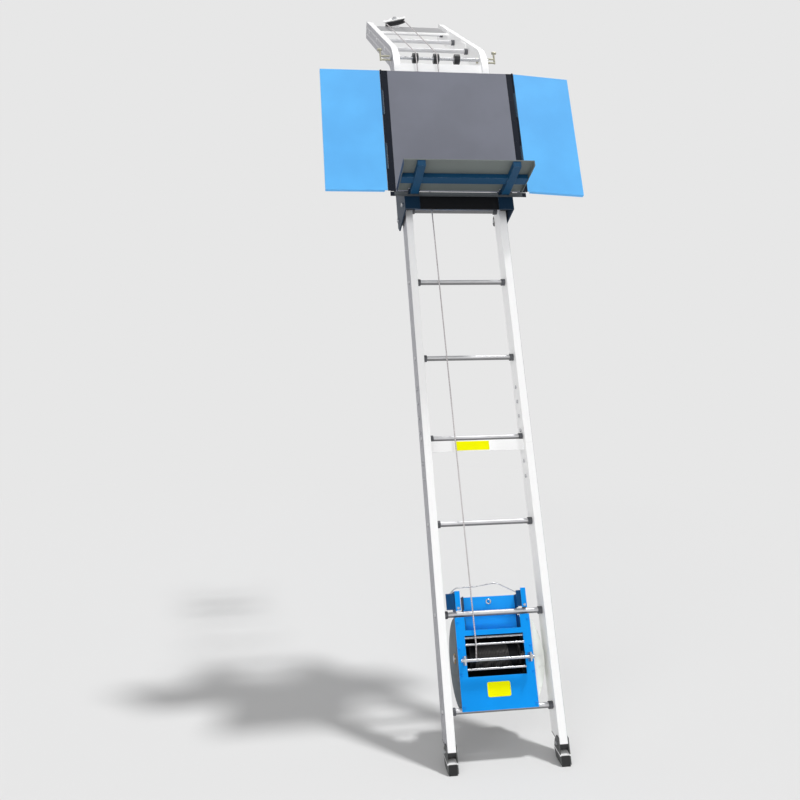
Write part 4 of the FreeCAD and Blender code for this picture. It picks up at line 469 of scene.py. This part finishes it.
def turnedShape(profile, steps, close=False):  # (radius, along) points spun about X
    clearSelection()
    bpy.ops.mesh.primitive_plane_add(size=0.001)
    piece = bpy.context.object
    editAll(piece)
    bpy.ops.mesh.merge(type="CENTER")
    bpy.ops.transform.translate(value=(profile[0][1], 0, profile[0][0]))
    ring = [*profile, profile[0]] if close else profile
    for before, after in zip(ring, ring[1:]):
        move = (after[1] - before[1], 0, after[0] - before[0])
        bpy.ops.mesh.extrude_vertices_move(TRANSFORM_OT_translate={"value": move})
    bpy.ops.mesh.select_all(action="SELECT")
    bpy.ops.mesh.spin(steps=steps, angle=2 * math.pi, center=(0, 0, 0), axis=(1, 0, 0))
    bpy.ops.mesh.select_all(action="SELECT")
    bpy.ops.mesh.remove_doubles(threshold=turnedDetail["merge"])
    bpy.ops.mesh.select_all(action="SELECT")
    bpy.ops.mesh.normals_make_consistent(inside=False)
    bpy.ops.object.mode_set(mode="OBJECT")
    smooth(piece, turnedDetail["smoothAngle"])
    return piece


def at(x, y, z):
    return Matrix.Translation((x, y, z))


asMade = Matrix.Identity(4)
facingFront = Matrix.Rotation(math.radians(-90), 4, "Z")  # X of a turned shape to -Y
facingUp = Matrix.Rotation(math.radians(-90), 4, "Y")  # X of a turned shape to Z

# Sheets, castings and extrusions keep the frame's shape with their sharp edges rounded
softEdges = {
    "back_panel": 0.0009, "wing_left": 0.0009, "wing_right": 0.0009, "shelf_plate": 0.0011, "shelf_frame": 0.0016,
    "carriage_side_plates": 0.0012, "carriage_crossbars": 0.0016, "safety_plate": 0.001,
    "cross_plates": 0.0011, "sheave_plate": 0.001, "sheave_fork": 0.0009, "knee_gussets": 0.0009,
    "winch_front_plate": 0.0011, "winch_recess_panel": 0.0009, "winch_hooks": 0.001, "winch_cheeks": 0.0014,
    "gear_case": 0.0024, "stile_end_plugs": 0.001, "foot_shoe_left": 0.0009, "foot_shoe_right": 0.0009,
    "foot_pad_left": 0.0007, "foot_pad_right": 0.0007, "rung_collars": 0.0012, "winch_back_cover": 0.0006,
    "lower_stile_left": 0.0009, "lower_stile_right": 0.0009, "upper_stile_left": 0.0009,
    "upper_stile_right": 0.0009, "head_stile_left": 0.0009, "head_stile_right": 0.0009,
    "rollers_front_low": 0.0012, "rollers_front_high": 0.0012, "rollers_rear_low": 0.0012,
    "rollers_rear_high": 0.0012, "hinge_strips": 0.0005, "drum": 0.001,
}
softening = {"merge": 0.00002, "flatAngle": 0.8, "sharpAngle": 38, "smoothAngle": 32, "segments": 2, "weight": 80}


def softened(node, width):
    piece = bpy.data.objects.new(node + "_soft", nodes[node].data.copy())
    bpy.context.scene.collection.objects.link(piece)
    editAll(piece)
    bpy.ops.mesh.customdata_custom_splitnormals_clear()
    bpy.ops.mesh.remove_doubles(threshold=softening["merge"])
    bpy.ops.mesh.dissolve_limited(angle_limit=math.radians(softening["flatAngle"]))
    bpy.ops.object.mode_set(mode="OBJECT")
    modify(piece, "BEVEL", width=width, segments=softening["segments"], limit_method="ANGLE",
           angle_limit=math.radians(softening["sharpAngle"]), use_clamp_overlap=False, miter_outer="MITER_ARC")
    smooth(piece, softening["smoothAngle"])
    modify(piece, "WEIGHTED_NORMAL", keep_sharp=True, weight=softening["weight"])
    settle(piece, node + "_soft", asMade, bodyOfNode[node], slotOfNode[node], [node])
    piece.data.materials[0] = finishOfNode[node]


for node, width in softEdges.items():
    softened(node, width)
print("rounded copies made:", len(softEdges))


def dotted(piece, places):  # one copy of the piece at each place, in one mesh
    pieces = [copied(piece, place) for place in places]
    bpy.data.objects.remove(piece)
    return joined(pieces)


# Rings where each rung's end is swaged over the outside of the stiles
rungEnd = {"bore": 0.0046, "reach": 0.0088, "proud": 0.0016, "sunk": 0.0004, "outerRound": 0.0012,
           "innerRound": 0.001, "steps": 28, "onLadder": 8, "onHead": 3}


def rungEndRings():
    bore, reach, proud, sunk = rungEnd["bore"], rungEnd["reach"], rungEnd["proud"], rungEnd["sunk"]
    profile = [(bore, -sunk), (reach, -sunk), (reach, proud * 0.4), (reach - rungEnd["outerRound"], proud),
               (bore + rungEnd["innerRound"], proud), (bore, proud * 0.5)]
    ring = turnedShape(profile, rungEnd["steps"], close=True)

    def spots(place, first, count):
        return [place @ at(0, hoist["rungDepth"], first + hoist["rungPitch"] * step) for step in range(count)]

    rungs = spots(onLadder, hoist["firstRung"], rungEnd["onLadder"])
    rungs += spots(onHead, hoist["headFirstRung"], rungEnd["onHead"])
    turns = {-1: Matrix.Rotation(math.pi, 4, "Z"), 1: asMade}
    places = [rung @ at(side * hoist["stileOuter"], 0, 0) @ turns[side] for rung in rungs for side in turns]
    settle(dotted(ring, places), "rung_end_rings", asMade, "root", "rung_metal")


rungEndRings()

# Button-head screws with a sunk socket, down both sides of the winch's front plate
screw = {"radius": 0.0052, "head": 0.0026, "socket": 0.0022, "depth": 0.0018, "sunk": 0.0003, "steps": 24,
         "across": 0.131, "heights": (-0.030, -0.122, -0.213, -0.322), "front": 0.020}


def plateScrews():
    radius, head, socket, sunk = screw["radius"], screw["head"], screw["socket"], screw["sunk"]
    bottom = head - screw["depth"]
    profile = [(0, bottom), (socket, bottom), (socket, head), (radius * 0.62, head * 0.95),
               (radius * 0.88, head * 0.66), (radius, head * 0.2), (radius, -sunk), (0, -sunk)]
    button = turnedShape(profile, screw["steps"])
    places = [onWinch @ at(side * screw["across"], screw["front"], height) @ facingFront
              for side in (-1, 1) for height in screw["heights"]]
    settle(dotted(button, places), "winch_plate_screws", asMade, "root", "blue_paint")


plateScrews()

# Yellow film labels with rounded corners, bare as cut
labels = {"winch": {"across": (-0.042, 0.042), "heights": (-0.293, -0.242), "front": 0.0192, "corner": 0.007},
          "joint": {"across": (-0.088, 0.046), "heights": (1.154, 1.190), "front": 0.0212, "corner": 0.003},
          "film": 0.0008, "cornerSteps": 6, "smoothAngle": 30}


def label(name, place):
    shape = labels[name]
    width = shape["across"][1] - shape["across"][0]
    height = shape["heights"][1] - shape["heights"][0]
    clearSelection()
    bpy.ops.mesh.primitive_plane_add(size=1)
    film = bpy.context.object
    film.scale = (width, height, 1)
    bpy.ops.object.transform_apply(location=True, rotation=True, scale=True)
    editAll(film)
    bpy.ops.mesh.bevel(offset=shape["corner"], segments=labels["cornerSteps"], affect="VERTICES")
    bpy.ops.mesh.select_all(action="SELECT")
    bpy.ops.mesh.extrude_region_move(TRANSFORM_OT_translate={"value": (0, 0, labels["film"])})
    bpy.ops.mesh.select_all(action="SELECT")
    bpy.ops.mesh.normals_make_consistent(inside=False)
    bpy.ops.object.mode_set(mode="OBJECT")
    smooth(film, labels["smoothAngle"])
    middle = at(sum(shape["across"]) / 2, shape["front"] + labels["film"], sum(shape["heights"]) / 2)
    film.data.transform(place @ middle @ Matrix.Rotation(math.radians(90), 4, "X"))
    return film


films = joined([label("winch", onWinch), label("joint", onLadder)])
settle(films, "labels_rounded", asMade, "root", "yellow_film", ["yellow_labels"])

# Domed rivets down the hinge strips
rivet = {"radius": 0.0036, "head": 0.0013, "sunk": 0.0003, "steps": 20, "across": 0.2725, "front": -0.082,
         "first": 2.262, "pitch": 0.1048, "count": 6}


def stripRivets():
    radius, head, sunk = rivet["radius"], rivet["head"], rivet["sunk"]
    profile = [(0, head), (radius * 0.5, head * 0.9), (radius * 0.85, head * 0.5), (radius, 0), (radius, -sunk),
               (0, -sunk)]
    dome = turnedShape(profile, rivet["steps"])
    heights = [rivet["first"] + rivet["pitch"] * step for step in range(rivet["count"])]
    places = [onLadder @ at(side * rivet["across"], rivet["front"], height) @ facingFront
              for side in (-1, 1) for height in heights]
    settle(dotted(dome, places), "strip_rivets", asMade, "carriage", "navy_paint")


stripRivets()

# The winch motor's casing: a hollow ribbed shell between two end bells, bored for the shaft at its right end
motor = {"back": 0.082, "height": -0.272, "radius": 0.0368, "root": 0.0322, "left": -0.110, "right": 0.133,
         "bell": 0.022, "rib": 0.0022, "gap": 0.0042, "flank": 0.0004, "ribDrop": 0.0006, "leftRound": 0.006,
         "rightRound": 0.004, "bore": 0.0084, "inner": 0.0304, "wall": 0.004, "steps": 48}


def ribbedMotor():
    radius, root, left, right = motor["radius"], motor["root"], motor["left"], motor["right"]
    bell, rib, gap, flank = motor["bell"], motor["rib"], motor["gap"], motor["flank"]
    bore, inner, wall = motor["bore"], motor["inner"], motor["wall"]
    crown = radius - motor["ribDrop"]
    leftRound, rightRound = motor["leftRound"], motor["rightRound"]
    profile = [(0, left), (radius - leftRound, left), (radius, left + leftRound), (radius, left + bell)]
    along = left + bell
    while along + gap + rib < right - bell:
        profile += [(root, along + flank), (root, along + gap)]
        profile += [(crown, along + gap + flank), (crown, along + gap + rib)]
        along += gap + rib
    profile += [(root, along + flank), (root, right - bell), (radius, right - bell + flank)]
    profile += [(radius, right - rightRound), (radius - rightRound, right), (bore, right), (bore, right - wall)]
    profile += [(inner, right - wall), (inner, left + wall), (0, left + wall)]
    shell = turnedShape(profile, motor["steps"])
    place = onWinch @ at(0, motor["back"], motor["height"])
    settle(shell, "ribbed_motor", place, "root", "black_paint", ["motor_casing"])


ribbedMotor()

# The pressed sleeve that ends the rope at the carriage
ferrule = {"across": -0.014, "depth": 0.014, "low": 2.756, "length": 0.022, "radius": 0.0046, "waist": 0.0040,
           "bore": 0.0026, "lead": 0.002, "steps": 24}


def ropeFerrule():
    radius, waist, bore = ferrule["radius"], ferrule["waist"], ferrule["bore"]
    length, lead = ferrule["length"], ferrule["lead"]
    profile = [(bore, 0), (waist, 0), (radius, lead), (waist, length * 0.33), (radius, length * 0.4)]
    profile += [(radius, length * 0.6), (waist, length * 0.67), (radius, length - lead)]
    profile += [(waist, length), (bore, length)]
    sleeve = turnedShape(profile, ferrule["steps"], close=True)
    where = onLadder @ at(ferrule["across"], ferrule["depth"], ferrule["low"]) @ facingUp
    settle(sleeve, "rope_ferrule", where, "carriage", "bronze")


ropeFerrule()
print("small pieces made")

# Camera at the photograph's view
view = {"place": (-0.799, -2.817, 1.758), "turn": (80.94, 0.0, -8.35), "lens": 41.11, "sensor": 36}
camera = bpy.data.objects.new("camera", bpy.data.cameras.new("camera"))
bpy.context.scene.collection.objects.link(camera)
camera.location = view["place"]
camera.rotation_euler = [math.radians(angle) for angle in view["turn"]]
camera.data.lens = view["lens"]
camera.data.sensor_width = view["sensor"]
bpy.context.scene.camera = camera

# Studio: a high key light behind the right shoulder of the hoist, a wide fill from the front, a pale room
studio = {
    "paper": screenColour(231, 231, 231), "ambient": 0.38, "keyStrength": 2.05, "keyTravel": (-0.36, -0.17, -1.0),
    "keyAngle": 5.0, "fillStrength": 1.45, "fillTravel": (0.45, 0.87, -0.26), "fillAngle": 70.0,
    "floorColour": screenColour(220, 220, 220), "floorHalf": 40.0, "fadeStart": 2.3, "fadeEnd": 4.2,
    "floorMiddle": (-0.4, 0.5, 0.0), "grainScale": 300, "grainDepth": 0.0001,
}


def sunLight(name, strength, travel, angle):
    lamp = bpy.data.objects.new(name, bpy.data.lights.new(name, "SUN"))
    bpy.context.scene.collection.objects.link(lamp)
    lamp.data.energy = strength
    lamp.data.angle = math.radians(angle)
    lamp.rotation_euler = Vector(travel).to_track_quat("-Z", "Y").to_euler()


sunLight("keyLight", studio["keyStrength"], studio["keyTravel"], studio["keyAngle"])
sunLight("fillLight", studio["fillStrength"], studio["fillTravel"], studio["fillAngle"])


class Room(Finish):  # the same sums, on the world's own tree
    def __init__(self, world):
        world.use_nodes = True
        self.tree = world.node_tree
        self.tree.nodes.clear()


room = Room(bpy.data.worlds.new("room"))
bpy.context.scene.world = bpy.data.worlds["room"]
seen = room.add("ShaderNodeLightPath", out="Is Camera Ray")
mirrored = room.add("ShaderNodeLightPath", out="Is Glossy Ray")
through = room.add("ShaderNodeLightPath", out="Is Transmission Ray")
direction = room.add("ShaderNodeTexCoord", out="Generated")
height = room.split(direction, "Z")
reflected = room.mix(room.ramp(height, 0.15, 0.95), scaled(studio["paper"], 1.1), scaled(studio["paper"], 0.4))
plain = room.mix(mirrored, studio["paper"], reflected)
shown = room.add("ShaderNodeBackground", None, {"Color": plain, "Strength": 1.0})
lit = room.add("ShaderNodeBackground", None, {"Color": (1, 1, 1, 1), "Strength": studio["ambient"]})
anyView = room.add("ShaderNodeMath", {"operation": "MAXIMUM"}, {0: seen + mirrored, 1: through})
chosen = room.add("ShaderNodeMixShader", None, {0: anyView, 1: lit, 2: shown})
room.add("ShaderNodeOutputWorld", None, {"Surface": chosen})


def floorPaper():  # lit paper near the hoist that fades to the backdrop's own tone
    finish = Finish("floor_paper")
    where = finish.place()
    offset = tuple(-value for value in studio["floorMiddle"])
    centred = finish.add("ShaderNodeMapping", None, {"Vector": where, "Location": offset})
    distance = finish.add("ShaderNodeVectorMath", {"operation": "LENGTH"}, {0: centred}, out="Value")
    far = finish.ramp(distance, studio["fadeStart"], studio["fadeEnd"])
    grain = finish.noise(where, studio["grainScale"], 2)
    colour = finish.mix(grain, scaled(studio["floorColour"], 0.995), scaled(studio["floorColour"], 1.005))
    normal = finish.bump(grain, studio["grainDepth"], 0.2)
    paper = finish.add("ShaderNodeBsdfDiffuse", None, {"Color": colour, "Normal": normal})
    glow = finish.add("ShaderNodeEmission", None, {"Color": studio["paper"], "Strength": 1.0})
    blended = finish.add("ShaderNodeMixShader", None, {0: far, 1: paper, 2: glow})
    finish.add("ShaderNodeOutputMaterial", None, {"Surface": blended})
    return finish.material


clearSelection()
bpy.ops.mesh.primitive_plane_add(size=2 * studio["floorHalf"], location=(0, 0, 0))
floor = bpy.context.object
floor.name = "floor"
floor.data.materials.append(floorPaper())

# The bent head drops no shadow on the floor, apart from its rungs
shadowless = ["head_stile_left_soft", "head_stile_right_soft", "sheave_plate_soft", "sheave_fork_soft", "head_sheave"]
for piece in shadowless:
    bpy.data.objects[piece].visible_shadow = False

bpy.context.scene.view_settings.view_transform = "Standard"
print("studio ready")
